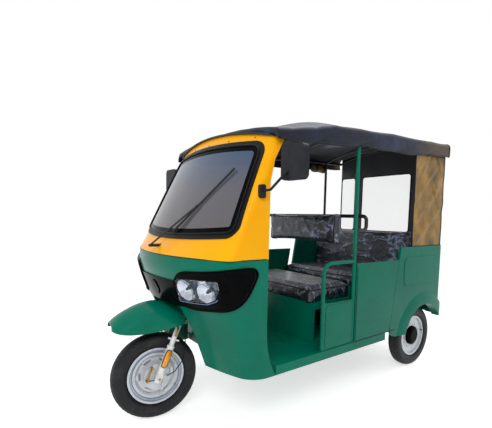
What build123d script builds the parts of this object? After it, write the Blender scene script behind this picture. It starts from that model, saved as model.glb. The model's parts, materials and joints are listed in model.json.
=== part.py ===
"""Auto rickshaw: a three-wheeled electric passenger vehicle, full size, in millimetres.

The front faces -Y, the driver's left is +X and Z is up from the ground. The origin lies on the
ground below the middle of the length. Distances named for a place along the vehicle are measured
behind the front axle and are turned into Y by aft().
"""
import math
import os

from build123d import *

os.makedirs("parts", exist_ok=True)

# Overall sizes
OVERALL_LENGTH = 2585.6
FRONT_REACH = 252.8
WHEELBASE = 2027.0
BODY_HALF_WIDTH = 591.0
SILL_BOTTOM = 335.0
FLOOR_TOP = 388.0
PIECE_GAP = 0.3

FRONT_AXLE_Y = FRONT_REACH - OVERALL_LENGTH / 2

# Wheels
TYRE_RADIUS = 251.0
TYRE_HALF_WIDTH = 48.0
RIM_FLANGE_RADIUS = 166.0
RIM_HALF_WIDTH = 35.0
RIM_WALL = 5.0
RIM_DISC = 8.0
RIM_HUB_INSET = 14.0
HUB_RADIUS = 34.0
AXLE_RADIUS = 12.0
BEARING_GAP = 0.05
REAR_TRACK_HALF = 476.0
POCKETS = 6

# Steering
RAKE = 23.0
STEER_AT_REST = -8.0
AXIS_BEHIND_AXLE = 45.0
FORK_HALF_SPAN = 84.0
FORK_TUBE_RADIUS = 15.0
FORK_SLIDER_RADIUS = 20.0
FORK_CROWN_HEIGHT = 322.0
FORK_CROWN_THICK = 22.0
STEERER_RADIUS = 15.0
HEAD_TUBE_WALL = 7.0
HEAD_TUBE_FOOT = 462.0
HEAD_TUBE_LENGTH = 150.0
HANDLEBAR_HEIGHT = 860.0
HANDLEBAR_HALF = 330.0
HANDLEBAR_RADIUS = 11.0
GRIP_RADIUS = 16.0
GRIP_LENGTH = 115.0

# Cab
CAB_WALL = 25.0
CAB_CORNER = 140.0
PILLAR_CORNER = 50.0
BELT_HEIGHT = 990.0
CAB_BACK = 385.0
CAB_CROWN = 1705.0
CAB_SHOULDER = 1640.0
CAB_ROUNDING = 60.0
SEAL_WIDTH = 26.0
SEAL_PROUD = 6.0
GLASS_THICK = 4.0
SURROUND_PROUD = 8.0
LAMP_PROUD = 10.0
LAMP_DEPTH = 30.0
BADGE_RADIUS = 44.0
BADGE_HEIGHT = 787.0
BADGE_PROUD = 14.0
ARCH_RADIUS = 240.0
ARCH_CENTRE = 194.0
ARCH_TOP = 716.0
WELL_HALF = 262.0
WELL_BACK = 338.0
WELL_TOP = 734.0
WELL_WALL = 8.0
DASH_TOP = BELT_HEIGHT - 35.0
DASH_DEPTH = 280.0
DASH_THICK = 70.0

# Tube work
TUBE_RADIUS = 12.5
HOOP_FRONT = 836.0
HOOP_TOP = 936.0
HOOP_BEND = 70.0
PILLAR_PLACE = 1126.0
PILLAR_TOP = 1748.0
ENTRY_PANEL_TOP = 682.0
ENTRY_PANEL_THICK = 16.0
ENTRY_MARGIN = 20.0
ENTRY_CORNER = 28.0

# Body panels
PANEL_THICK = 20.0
SIDE_PANEL_TOP = 920.0
QUARTER_TOP = 1015.0
QUARTER_FRONT_TOP = 1662.0
QUARTER_FRONT_FOOT = 1540.0
QUARTER_CORNER = 60.0
QUARTER_TOP_CORNER = 85.0
PRESSING_FRONT = 1716.0
PRESSING_LOW = 713.0
PRESSING_HIGH = 934.0
PRESSING_CORNER = 45.0
PRESSING_PROUD = 4.0
FLARE_WIDTH = 100.0
FLARE_PROUD = 18.0
FLARE_DEPTH = 50.0
RIGHT_SIDE_GAP = 60.0
PANEL_GAP = 3.0
ARCH_REAR_RADIUS = 288.0
TAIL_HALF = 470.0
TAIL_BOTTOM = 420.0
PLATE_LEVEL = 600.0
PLATE_HOLE_SPACING = 240.0
PLATE_HOLE_RADIUS = 3.5
TAIL_LAMP_WIDTH = 90.0
TAIL_LAMP_HEIGHT = 150.0
TAIL_LAMP_PROUD = 16.0
BODY_REAR = OVERALL_LENGTH - FRONT_REACH - TAIL_LAMP_PROUD - PIECE_GAP

# Chassis
RAIL_HALF_SPAN = 300.0
RAIL_WIDTH = 40.0
RAIL_DEPTH = 42.0
FLOOR_THICK = 10.0
RAIL_FRONT = 345.0
RAIL_REAR = 2285.0
AXLE_TUBE_RADIUS = 28.0
SPRING_WIDTH = 45.0
SPRING_THICK = 20.0
SPRING_HALF_LENGTH = 270.0
SPRING_RISE = 26.0
DRUM_RADIUS = 92.0

# Seats
BENCH_HALF = 441.0
BENCH_FRONT = 892.0
BENCH_DEPTH = 370.0
BENCH_TOP = 655.0
BENCH_SHEET = 15.0
BENCH_FASCIA = 45.0
CUSHION_HALF = 430.0
CUSHION_OVERHANG = 25.0
CUSHION_THICK = 90.0
CUSHION_CORNER = 40.0
BACKREST_HALF = 380.0
BACKREST_FRONT = 1165.0
BACKREST_THICK = 60.0
BACKREST_CORNER = 25.0
BACKREST_BOTTOM = 1035.0
BACKREST_TOP = 1250.0
REAR_BENCH_FRONT = 1500.0
REAR_BENCH_TOP = 672.0
REAR_SHEET = 15.0
REAR_CUSHION_DEPTH = 400.0
REAR_BACKREST_PLACE = 1862.0
REAR_BACKREST_TOP = 1130.0

# Roof
ROOF_HALF_WIDTH = 604.0
ROOF_SKIN = 9.0
ROOF_FRONT = 425.0
ROOF_REAR = BODY_REAR - 16.5
ROOF_ROUNDING = 40.0
REAR_POST_PLACE = 2030.0
CURTAIN_THICK = 8.0
COVER_THICK = 9.0
COVER_REAR = ROOF_FRONT + 10.0
BROW_REACH = 16.0
BROW_DROP = 30.0
CURTAIN_FRONT = 1812.0
CURTAIN_TOP = 1756.0

# Mirrors
MIRROR_WIDTH = 170.0
MIRROR_HEIGHT = 175.0
MIRROR_DEPTH = 38.0
MIRROR_CENTRE = 726.0
MIRROR_PLACE = 430.0
MIRROR_LEVEL = 1490.0

# Cab sections: height, nose behind axle, bow radius of the front, back edge behind axle, half width
LOWER_SECTIONS = (
    (SILL_BOTTOM, 190.0, 1600.0, CAB_BACK + 70.0, BODY_HALF_WIDTH),
    (600.0, 88.0, 1200.0, CAB_BACK, BODY_HALF_WIDTH),
    (740.0, 30.0, 1200.0, CAB_BACK, BODY_HALF_WIDTH),
    (850.0, -8.0, 1200.0, CAB_BACK, BODY_HALF_WIDTH),
    (BELT_HEIGHT, -14.0, 1200.0, CAB_BACK, BODY_HALF_WIDTH),
)
UPPER_SECTIONS = (
    (BELT_HEIGHT + PIECE_GAP, -14.0, 1250.0, CAB_BACK, BODY_HALF_WIDTH),
    (BELT_HEIGHT + 72.0, 55.0, 1600.0, CAB_BACK, BODY_HALF_WIDTH),
    (BELT_HEIGHT + 410.0, 224.0, 1700.0, CAB_BACK + 7.0, BODY_HALF_WIDTH - 6.0),
    (BELT_HEIGHT + 530.0, 283.0, 1700.0, CAB_BACK + 40.0, BODY_HALF_WIDTH - 14.0),
    (BELT_HEIGHT + 630.0, 334.0, 1700.0, CAB_BACK + 100.0, BODY_HALF_WIDTH - 25.0),
    (BELT_HEIGHT + 790.0, 414.0, 1700.0, CAB_BACK + 190.0, BODY_HALF_WIDTH - 41.0),
)

# Roof sections: place behind axle, valance edge, shoulder, crown
ROOF_SECTIONS = (
    (ROOF_FRONT, 1628.0, 1690.0, 1735.0),
    (870.0, 1655.0, 1780.0, 1862.0),
    (1500.0, 1702.0, 1828.0, 1895.0),
    (ROOF_REAR, 1750.0, 1868.0, 1912.0),
)

# Fender sections: place behind axle, half width, edge height, crown height
FENDER_SECTIONS = (
    (-247.1, 72.0, 562.0, 596.0),
    (-226.0, 108.0, 552.0, 618.0),
    (-150.0, 132.0, 538.0, 664.0),
    (0.0, 138.0, 540.0, 700.0),
    (150.0, 128.0, 560.0, 652.0),
)
FENDER_SKIN = 6.0
FENDER_LIP = 22.0

LAMP_TOP_Z = 872.0
SURROUND_OUTLINE = (
    (235.0, 856.0), (278.0, 892.0), (360.0, 918.0), (520.0, 936.0), (583.0, 930.0),
    (575.0, 800.0), (545.0, 746.0), (500.0, 722.0), (250.0, 707.0),
)
LENS_OUTLINE = (
    (262.0, LAMP_TOP_Z), (537.0, LAMP_TOP_Z + 12.0), (537.0, 838.0), (506.0, 784.0),
    (446.0, 758.0), (250.0, 746.0), (244.0, 790.0),
)


def aft(distance):
    """Y of a place given as a distance behind the front axle."""
    return FRONT_AXLE_Y + distance


def finish(piece, name):
    """Label a finished piece and write it as its own STEP file."""
    piece.label = name
    export_step(piece, f"parts/{name}.step")


def turned(piece):
    """A piece of the steering, turned from straight ahead to where the vehicle was parked."""
    return piece.rotate(STEERING_AXIS, STEER_AT_REST)


def cab_section(row, corner, inset):
    """Plan outline of the cab at one height, moved in from the outer skin by inset.

    The bowed front meets each straight side in a corner arc that is tangent to both.
    """
    height, nose, bow, back, half_width = row
    half = half_width - inset
    radius = corner - inset
    front = aft(nose) + inset
    bow_centre = front + bow
    corner_y = bow_centre - math.sqrt((bow - radius) ** 2 - (half - radius) ** 2)
    lean = math.atan2(half - radius, bow_centre - corner_y)
    meet_x = bow * math.sin(lean)
    meet_y = bow_centre - bow * math.cos(lean)
    middle = (lean + math.pi / 2) / 2
    middle_x = half - radius + radius * math.sin(middle)
    middle_y = corner_y - radius * math.cos(middle)
    rear = aft(back) + max(inset, 0) * 4
    with BuildSketch(Plane.XY.offset(height)) as outline:
        with BuildLine():
            Line((-half, rear), (-half, corner_y))
            ThreePointArc((-half, corner_y), (-middle_x, middle_y), (-meet_x, meet_y))
            ThreePointArc((-meet_x, meet_y), (0, front), (meet_x, meet_y))
            ThreePointArc((meet_x, meet_y), (middle_x, middle_y), (half, corner_y))
            Line((half, corner_y), (half, rear))
            Line((half, rear), (-half, rear))
        make_face()
    return outline.sketch


def cab_loft(sections, corner, inset, smooth, mode=Mode.ADD):
    """Solid body of the cab between its first and last section, moved in by inset."""
    outlines = [cab_section(row, corner, inset) for row in sections]
    loft(sections=outlines, ruled=not smooth, mode=mode)


def cab_profile(inset, mode):
    """Keep what lies below the crowned roof line of the cab, moved in by inset."""
    half = BODY_HALF_WIDTH - inset
    with BuildSketch(Plane.XZ) as front_view:
        with BuildLine():
            Line((-half, 0), (-half, CAB_SHOULDER - inset))
            ThreePointArc(
                (-half, CAB_SHOULDER - inset), (0, CAB_CROWN - inset), (half, CAB_SHOULDER - inset)
            )
            Line((half, CAB_SHOULDER - inset), (half, 0))
            Line((half, 0), (-half, 0))
        make_face()
        fillet(front_view.vertices().group_by(Axis.Y)[-1], CAB_ROUNDING)
    extrude(front_view.sketch, amount=OVERALL_LENGTH, both=True, mode=mode)


def screen_outline(inset):
    """Front view of the windscreen seal, moved in by inset."""
    foot = BODY_HALF_WIDTH - 11.0 - inset
    head = BODY_HALF_WIDTH - 67.0 - inset
    low = BELT_HEIGHT + 114.0 + inset
    high = CAB_SHOULDER - 14.0 - inset
    with BuildSketch(Plane.XZ) as front_view:
        with BuildLine():
            ThreePointArc((-foot, low), (0, low - 26.0), (foot, low))
            Line((foot, low), (head, high))
            ThreePointArc((head, high), (0, high + 22.0), (-head, high))
            Line((-head, high), (-foot, low))
        make_face()
        fillet(front_view.vertices().group_by(Axis.Y)[0], 62.0 - inset)
        fillet(front_view.vertices().group_by(Axis.Y)[-1], 98.0 - inset)
    return front_view.sketch


def screen_prism(inset, mode):
    """Everything behind or ahead of the windscreen's outline, moved in by inset."""
    extrude(screen_outline(inset), amount=OVERALL_LENGTH, both=True, mode=mode)


def cab_skin(sections, corner, outer, inner, smooth):
    """Layer that stands off the cab's outer skin, from inner to outer millimetres."""
    cab_loft(sections, corner, -outer, smooth)
    cab_loft(sections, corner, -inner, smooth, mode=Mode.SUBTRACT)


def mirrored_outline(points):
    """Closed front view outline from its points on the left side."""
    others = [(-x, z) for x, z in reversed(points)]
    with BuildSketch(NOSE_VIEW) as front_view:
        with BuildLine():
            Polyline(*points, *others, close=True)
        make_face()
    return front_view.sketch


def lens_prism(grow, mode):
    """Both headlamp outlines, grown by a few millimetres, run through the nose."""
    with BuildSketch(NOSE_VIEW) as front_view:
        with BuildLine():
            Polyline(*LENS_OUTLINE, close=True)
        make_face()
        offset(amount=grow, mode=Mode.REPLACE)
        mirror(about=Plane.YZ)
    extrude(front_view.sketch, amount=OVERALL_LENGTH, mode=mode)


# Front view plane standing inside the cab, so that what is run forward from it meets the nose only
NOSE_VIEW = Plane.XZ.offset(-aft(CAB_BACK - 40.0))

# Steering frame: its origin is on the axis at axle height and its Z runs up the axis
RAKE_SIN = math.sin(math.radians(RAKE))
RAKE_COS = math.cos(math.radians(RAKE))
STEERING_POINT = (0, aft(AXIS_BEHIND_AXLE), TYRE_RADIUS)
STEERING_AXIS = Axis(STEERING_POINT, (0, RAKE_SIN, RAKE_COS))
STEERING_PLANE = Plane(origin=STEERING_POINT, x_dir=(1, 0, 0), z_dir=(0, RAKE_SIN, RAKE_COS))
LEG_Y = -AXIS_BEHIND_AXLE * RAKE_COS
AXLE_ALONG = -AXIS_BEHIND_AXLE * RAKE_SIN


def steering_plane(along):
    """Plane across the steering axis at a distance along it."""
    return STEERING_PLANE.offset(along)


# Solids that other pieces are cut to: the room in both halves of the cab, and its outside
with BuildPart() as lower_room:
    cab_loft(LOWER_SECTIONS, CAB_CORNER, CAB_WALL + PIECE_GAP, True)
with BuildPart() as upper_room:
    cab_loft(UPPER_SECTIONS, PILLAR_CORNER, CAB_WALL, False)
    cab_profile(CAB_WALL, Mode.INTERSECT)
with BuildPart() as upper_outside:
    cab_loft(UPPER_SECTIONS, PILLAR_CORNER, -PIECE_GAP, False)

# Cab, lower half
with BuildPart() as cab_lower:
    cab_loft(LOWER_SECTIONS, CAB_CORNER, 0, True)
    cab_loft(LOWER_SECTIONS, CAB_CORNER, CAB_WALL, True, mode=Mode.SUBTRACT)
    with BuildSketch(Plane.XY.offset(SILL_BOTTOM)):
        with Locations((0, aft(ARCH_CENTRE))):
            Circle(ARCH_RADIUS)
    extrude(amount=ARCH_TOP - SILL_BOTTOM, mode=Mode.SUBTRACT)
    lens_prism(PIECE_GAP, Mode.SUBTRACT)
finish(cab_lower.part, "cab_lower")

# Cab, upper half with the windscreen opening
with BuildPart() as cab_upper:
    cab_loft(UPPER_SECTIONS, PILLAR_CORNER, 0, False)
    cab_profile(0, Mode.INTERSECT)
    add(upper_room.part, mode=Mode.SUBTRACT)
    screen_prism(SEAL_WIDTH, Mode.SUBTRACT)
finish(cab_upper.part, "cab_upper")

# Windscreen seal and glass, lying on the cab's front
with BuildPart() as windscreen_seal:
    cab_skin(UPPER_SECTIONS, PILLAR_CORNER, SEAL_PROUD, PIECE_GAP, False)
    screen_prism(0, Mode.INTERSECT)
    screen_prism(SEAL_WIDTH, Mode.SUBTRACT)
finish(windscreen_seal.part, "windscreen_seal")

with BuildPart() as windscreen_glass:
    cab_skin(UPPER_SECTIONS, PILLAR_CORNER, GLASS_THICK, PIECE_GAP, False)
    screen_prism(SEAL_WIDTH + PIECE_GAP, Mode.INTERSECT)
finish(windscreen_glass.part, "windscreen_glass")

# Black lamp surround across the nose, its lenses and the plain disc at its middle
with BuildPart() as lamp_surround:
    cab_skin(LOWER_SECTIONS, CAB_CORNER, SURROUND_PROUD, PIECE_GAP, True)
    extrude(mirrored_outline(SURROUND_OUTLINE), amount=OVERALL_LENGTH, mode=Mode.INTERSECT)
    lens_prism(PIECE_GAP, Mode.SUBTRACT)
finish(lamp_surround.part, "lamp_surround")

with BuildPart() as headlamps:
    cab_skin(LOWER_SECTIONS, CAB_CORNER, LAMP_PROUD, -LAMP_DEPTH, True)
    lens_prism(-PIECE_GAP, Mode.INTERSECT)
finish(headlamps.part, "headlamps")

with BuildPart() as nose_disc:
    cab_skin(LOWER_SECTIONS, CAB_CORNER, BADGE_PROUD, SURROUND_PROUD + PIECE_GAP, True)
    with BuildSketch(NOSE_VIEW):
        with Locations((0, BADGE_HEIGHT)):
            Circle(BADGE_RADIUS)
    extrude(amount=OVERALL_LENGTH, mode=Mode.INTERSECT)
finish(nose_disc.part, "nose_disc")

# Wheel well behind the nose, open below and towards the wheel
with BuildPart() as wheel_well:
    with BuildSketch(Plane.XY.offset(SILL_BOTTOM)):
        with Locations((0, aft(WELL_BACK))):
            Rectangle(2 * WELL_HALF, 2 * WELL_BACK)
    extrude(amount=WELL_TOP - SILL_BOTTOM)
    with BuildSketch(Plane.XY.offset(SILL_BOTTOM)):
        with Locations((0, aft(WELL_BACK - WELL_WALL))):
            Rectangle(2 * (WELL_HALF - WELL_WALL), 2 * WELL_BACK)
    extrude(amount=WELL_TOP - WELL_WALL - SILL_BOTTOM, mode=Mode.SUBTRACT)
    split(bisect_by=Plane.XZ.offset(-aft(WELL_BACK)), keep=Keep.TOP)
    add(lower_room.part, mode=Mode.INTERSECT)
    with BuildSketch(steering_plane(HEAD_TUBE_FOOT)):
        Circle(STEERER_RADIUS + HEAD_TUBE_WALL + PIECE_GAP)
    extrude(amount=HEAD_TUBE_LENGTH, both=True, mode=Mode.SUBTRACT)
finish(wheel_well.part, "wheel_well")

# Dashboard shelf under the windscreen
with BuildPart() as dashboard:
    with BuildSketch(Plane.XY.offset(DASH_TOP - DASH_THICK)):
        with Locations((0, aft(DASH_DEPTH / 2))):
            Rectangle(2 * BODY_HALF_WIDTH, DASH_DEPTH)
    extrude(amount=DASH_THICK)
    add(lower_room.part, mode=Mode.INTERSECT)
finish(dashboard.part, "dashboard")

# Wiper: pivot, arm and blade lying just off the glass
WIPER_ROUTE = ((0.0, BELT_HEIGHT + 44.0), (222.0, BELT_HEIGHT + 276.0))
BLADE_ENDS = ((100.0, BELT_HEIGHT + 128.0), (395.0, BELT_HEIGHT + 485.0))
WIPER_OFF_GLASS = 14.0


def screen_point(x, z, off):
    """Point in front of the windscreen at a front view place, a distance off the skin."""
    rows = UPPER_SECTIONS
    for low, high in zip(rows, rows[1:]):
        if low[0] <= z <= high[0]:
            share = (z - low[0]) / (high[0] - low[0])
            nose = low[1] + share * (high[1] - low[1])
            bow = low[2] + share * (high[2] - low[2])
            return (x, aft(nose) + bow - math.sqrt(bow**2 - x**2) - off, z)
    raise ValueError("height is off the cab")


with BuildPart() as wiper:
    stand = WIPER_OFF_GLASS + SEAL_PROUD
    pivot = screen_point(*WIPER_ROUTE[0], -2.0 * SEAL_PROUD)
    knee = screen_point(*WIPER_ROUTE[0], 3.0 * stand)
    reach = screen_point(*WIPER_ROUTE[1], stand)
    ends = [screen_point(*end, stand) for end in BLADE_ENDS]
    for start, stop, radius in ((pivot, knee, 9.0), (knee, reach, 5.0), (ends[0], ends[1], 6.0)):
        run = Vector(*stop) - Vector(*start)
        with BuildSketch(Plane(origin=start, z_dir=run)):
            Circle(radius)
        extrude(amount=run.length)
    with Locations(knee, reach):
        Sphere(9.0)
    add(upper_outside.part, mode=Mode.SUBTRACT)
finish(wiper.part, "wiper")

# Chassis: two long rails, cross members, uprights to the steering head and its tube
CROSS_PLACES = (RAIL_FRONT + 20.0, 900.0, 1500.0, 1800.0, RAIL_REAR - 20.0)
RAIL_TOP = FLOOR_TOP - FLOOR_THICK
UPRIGHT_X = 60.0
with BuildPart() as chassis_frame:
    with BuildSketch(Plane.XY.offset(RAIL_TOP - RAIL_DEPTH)):
        with Locations(*[(side * RAIL_HALF_SPAN, aft((RAIL_FRONT + RAIL_REAR) / 2)) for side in (1, -1)]):
            Rectangle(RAIL_WIDTH, RAIL_REAR - RAIL_FRONT)
        with Locations(*[(0, aft(place)) for place in CROSS_PLACES]):
            Rectangle(2 * RAIL_HALF_SPAN, RAIL_WIDTH)
    extrude(amount=RAIL_DEPTH)
    with BuildSketch(steering_plane(HEAD_TUBE_FOOT)):
        Circle(STEERER_RADIUS + HEAD_TUBE_WALL)
    extrude(amount=HEAD_TUBE_LENGTH)
    head = STEERING_PLANE.from_local_coords((0, 0, HEAD_TUBE_FOOT + HEAD_TUBE_LENGTH * 0.8))
    foot_y = aft(RAIL_FRONT + 20.0)
    for side in (1, -1):
        start = Vector(side * UPRIGHT_X, foot_y, RAIL_TOP - RAIL_DEPTH / 2)
        bend = Vector(side * UPRIGHT_X, foot_y, WELL_TOP + 30.0)
        stop = Vector(side * 12.0, head.Y, head.Z)
        with BuildLine() as upright:
            Polyline(start, bend, stop)
        with BuildSketch(Plane(origin=start, z_dir=upright.line % 0)):
            Circle(TUBE_RADIUS)
        sweep(transition=Transition.ROUND)
    with BuildSketch(steering_plane(HEAD_TUBE_FOOT)):
        Circle(STEERER_RADIUS + BEARING_GAP)
    extrude(amount=HEAD_TUBE_LENGTH, mode=Mode.SUBTRACT)
finish(chassis_frame.part, "chassis_frame")

# Floor pan with its box sills along both doorways
FLOOR_FRONT = WELL_BACK + PIECE_GAP
FLOOR_REAR = REAR_BENCH_FRONT
SILL_WIDTH = 48.0
DOORWAY_FRONT = CAB_BACK + 70.0 + PIECE_GAP
with BuildPart() as floor_pan:
    with BuildSketch(Plane.XY.offset(RAIL_TOP)):
        with Locations((0, aft((FLOOR_FRONT + DOORWAY_FRONT) / 2))):
            Rectangle(2 * BODY_HALF_WIDTH, DOORWAY_FRONT - FLOOR_FRONT)
    extrude(amount=FLOOR_THICK)
    add(lower_room.part, mode=Mode.INTERSECT)
    middle = aft((DOORWAY_FRONT + FLOOR_REAR) / 2)
    with BuildSketch(Plane.XY.offset(RAIL_TOP)):
        with Locations((0, middle)):
            Rectangle(2 * BODY_HALF_WIDTH, FLOOR_REAR - DOORWAY_FRONT)
    extrude(amount=FLOOR_THICK)
    sill_x = BODY_HALF_WIDTH - SILL_WIDTH / 2
    with BuildSketch(Plane.XY.offset(SILL_BOTTOM)):
        with Locations((sill_x, middle), (-sill_x, middle)):
            Rectangle(SILL_WIDTH, FLOOR_REAR - DOORWAY_FRONT)
    extrude(amount=RAIL_TOP - SILL_BOTTOM)
    with BuildSketch(Plane.XY.offset(RAIL_TOP)):
        with Locations((UPRIGHT_X, foot_y), (-UPRIGHT_X, foot_y)):
            Circle(TUBE_RADIUS + PIECE_GAP)
    extrude(amount=FLOOR_THICK, mode=Mode.SUBTRACT)
finish(floor_pan.part, "floor_pan")

# Entry frames: the bent hoop, the pillar behind it and the short panel between them
SIDES = (("left", 1), ("right", -1))
HOOP_X = BODY_HALF_WIDTH - TUBE_RADIUS - 4.0
for side_name, side in SIDES:
    with BuildPart() as entry_frame:
        x = side * HOOP_X
        foot = (x, aft(HOOP_FRONT), FLOOR_TOP)
        with BuildLine() as hoop:
            FilletPolyline(
                foot,
                (x, aft(HOOP_FRONT), HOOP_TOP),
                (x, aft(PILLAR_PLACE), HOOP_TOP),
                radius=HOOP_BEND,
            )
        with BuildSketch(Plane.XY.offset(FLOOR_TOP)):
            with Locations(foot[:2]):
                Circle(TUBE_RADIUS)
        sweep()
        with BuildSketch(Plane.XY.offset(FLOOR_TOP)):
            with Locations((x, aft(PILLAR_PLACE))):
                Circle(TUBE_RADIUS)
        extrude(amount=PILLAR_TOP - FLOOR_TOP)
        with BuildSketch(Plane.XY.offset(FLOOR_TOP)):
            with Locations((x, aft((HOOP_FRONT + PILLAR_PLACE) / 2))):
                Rectangle(ENTRY_PANEL_THICK, PILLAR_PLACE - HOOP_FRONT)
        extrude(amount=ENTRY_PANEL_TOP - FLOOR_TOP)
        with BuildSketch(Plane.YZ.offset(side * (HOOP_X + ENTRY_PANEL_THICK / 2))):
            with Locations((aft((HOOP_FRONT + PILLAR_PLACE) / 2), (ENTRY_PANEL_TOP + FLOOR_TOP) / 2)):
                RectangleRounded(
                    PILLAR_PLACE - HOOP_FRONT - 2 * ENTRY_MARGIN,
                    ENTRY_PANEL_TOP - FLOOR_TOP - ENTRY_MARGIN,
                    ENTRY_CORNER,
                )
        extrude(amount=side * PRESSING_PROUD)
    finish(entry_frame.part, f"entry_frame_{side_name}")

# Side panels between the pillar and the rear quarter
for side_name, side in SIDES:
    gap = PANEL_GAP if side > 0 else RIGHT_SIDE_GAP
    front = PILLAR_PLACE + TUBE_RADIUS + PIECE_GAP
    slope = (QUARTER_FRONT_TOP - QUARTER_FRONT_FOOT) / (QUARTER_TOP - SILL_BOTTOM)
    foot_end = QUARTER_FRONT_FOOT + slope * (FLOOR_TOP - SILL_BOTTOM) - gap
    top_end = QUARTER_FRONT_FOOT + slope * (SIDE_PANEL_TOP - SILL_BOTTOM) - gap
    with BuildPart() as side_panel:
        with BuildSketch(Plane.YZ.offset(side * (BODY_HALF_WIDTH - PANEL_THICK / 2))):
            with BuildLine():
                Polyline(
                    (aft(front), FLOOR_TOP + PIECE_GAP),
                    (aft(foot_end), FLOOR_TOP + PIECE_GAP),
                    (aft(top_end), SIDE_PANEL_TOP),
                    (aft(front), SIDE_PANEL_TOP),
                    close=True,
                )
            make_face()
        extrude(amount=PANEL_THICK / 2, both=True)
    finish(side_panel.part, f"side_panel_{side_name}")


def tub_plan(inset):
    """Plan of the rear body with its rounded corners, moved in by inset."""
    front = QUARTER_FRONT_FOOT
    with BuildSketch(Plane.XY.offset(SILL_BOTTOM)) as outline:
        with Locations((0, aft(front))):
            RectangleRounded(
                2 * (BODY_HALF_WIDTH - inset), 2 * (BODY_REAR - front - inset), QUARTER_CORNER - inset
            )
    return outline.sketch


def tub_ring(thick):
    """Plan ring of the rear body: two sides and a back with rounded corners."""
    return tub_plan(0.0) - tub_plan(thick)


def quarter_outline():
    """Side view of a rear quarter with its sloped front edge and open wheel arch."""
    top_front = (aft(QUARTER_FRONT_TOP), QUARTER_TOP)
    with BuildSketch(Plane.YZ) as side_view:
        with BuildLine():
            Polyline(
                (aft(QUARTER_FRONT_FOOT), SILL_BOTTOM),
                (aft(WHEELBASE), SILL_BOTTOM),
                (aft(BODY_REAR), TAIL_BOTTOM),
                (aft(BODY_REAR), QUARTER_TOP),
                top_front,
                close=True,
            )
        make_face()
        fillet(side_view.vertices().sort_by_distance((0, *top_front))[0], QUARTER_TOP_CORNER)
        with Locations((aft(WHEELBASE), TYRE_RADIUS)):
            Circle(ARCH_REAR_RADIUS, mode=Mode.SUBTRACT)
    return side_view.sketch


def arch_flare(side):
    """Half section of the flare round a wheel arch, drawn as (radius, place across the vehicle)."""
    skin = side * BODY_HALF_WIDTH
    lip = side * (BODY_HALF_WIDTH + FLARE_PROUD)
    root = side * (BODY_HALF_WIDTH - FLARE_DEPTH)
    crease = ARCH_REAR_RADIUS + FLARE_WIDTH
    with BuildSketch(Plane(origin=ARCH_REAR_CENTRE, x_dir=(0, 0, 1), z_dir=(0, 1, 0))) as section:
        with BuildLine():
            Polyline((ARCH_REAR_RADIUS, lip), (ARCH_REAR_RADIUS, root), (crease, root), (crease, skin))
            ThreePointArc(
                (crease, skin), (ARCH_REAR_RADIUS + FLARE_WIDTH / 2, (skin + lip) / 2 + side * 3.0),
                (ARCH_REAR_RADIUS, lip),
            )
        make_face()
    return section.sketch


ARCH_REAR_CENTRE = (0, aft(WHEELBASE), TYRE_RADIUS)
for side_name, side in SIDES:
    with BuildPart() as rear_quarter:
        extrude(tub_ring(PANEL_THICK), amount=QUARTER_TOP - SILL_BOTTOM)
        revolve(arch_flare(side), axis=Axis(ARCH_REAR_CENTRE, (1, 0, 0)))
        pressing_rear = BODY_REAR - QUARTER_CORNER - 15.0
        with BuildSketch(Plane.YZ.offset(side * BODY_HALF_WIDTH)):
            with Locations((aft((PRESSING_FRONT + pressing_rear) / 2), (PRESSING_LOW + PRESSING_HIGH) / 2)):
                RectangleRounded(
                    pressing_rear - PRESSING_FRONT, PRESSING_HIGH - PRESSING_LOW, PRESSING_CORNER
                )
        extrude(amount=side * PRESSING_PROUD)
        flared = tub_plan(-FLARE_PROUD)
        extrude(flared, amount=QUARTER_TOP - SILL_BOTTOM, mode=Mode.INTERSECT)
        extrude(quarter_outline(), amount=OVERALL_LENGTH, both=True, mode=Mode.INTERSECT)
        split(bisect_by=Plane.YZ.offset(side * TAIL_HALF), keep=Keep.TOP if side > 0 else Keep.BOTTOM)
    finish(rear_quarter.part, f"rear_quarter_{side_name}")

with BuildPart() as tail_panel:
    with BuildSketch(Plane.XY.offset(TAIL_BOTTOM)):
        with Locations((0, aft(BODY_REAR - PANEL_THICK / 2))):
            Rectangle(2 * (TAIL_HALF - PIECE_GAP), PANEL_THICK)
    extrude(amount=QUARTER_TOP - TAIL_BOTTOM)
    with BuildSketch(Plane.XZ.offset(-aft(BODY_REAR))):
        with Locations((0, PLATE_LEVEL)):
            with GridLocations(PLATE_HOLE_SPACING, 0, 2, 1):
                Circle(PLATE_HOLE_RADIUS)
    extrude(amount=PANEL_THICK, mode=Mode.SUBTRACT)
finish(tail_panel.part, "tail_panel")

# Tail lamps
with BuildPart() as tail_lamps:
    with BuildSketch(Plane.XZ.offset(-aft(BODY_REAR) - PIECE_GAP)):
        with GridLocations(2 * (TAIL_HALF - TAIL_LAMP_WIDTH), 0, 2, 1):
            with Locations((0, (QUARTER_TOP + TAIL_BOTTOM) / 2 + 80.0)):
                RectangleRounded(TAIL_LAMP_WIDTH, TAIL_LAMP_HEIGHT, 18.0)
    extrude(amount=-TAIL_LAMP_PROUD)
finish(tail_lamps.part, "tail_lamps")


def plan(width, front, rear, low, rounding=0.0):
    """Plan rectangle across the vehicle at one height, with its upright corners rounded."""
    with BuildSketch(Plane.XY.offset(low)) as outline:
        with Locations((0, aft((front + rear) / 2))):
            if rounding:
                RectangleRounded(width, rear - front, rounding)
            else:
                Rectangle(width, rear - front)
    return outline.sketch


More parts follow.
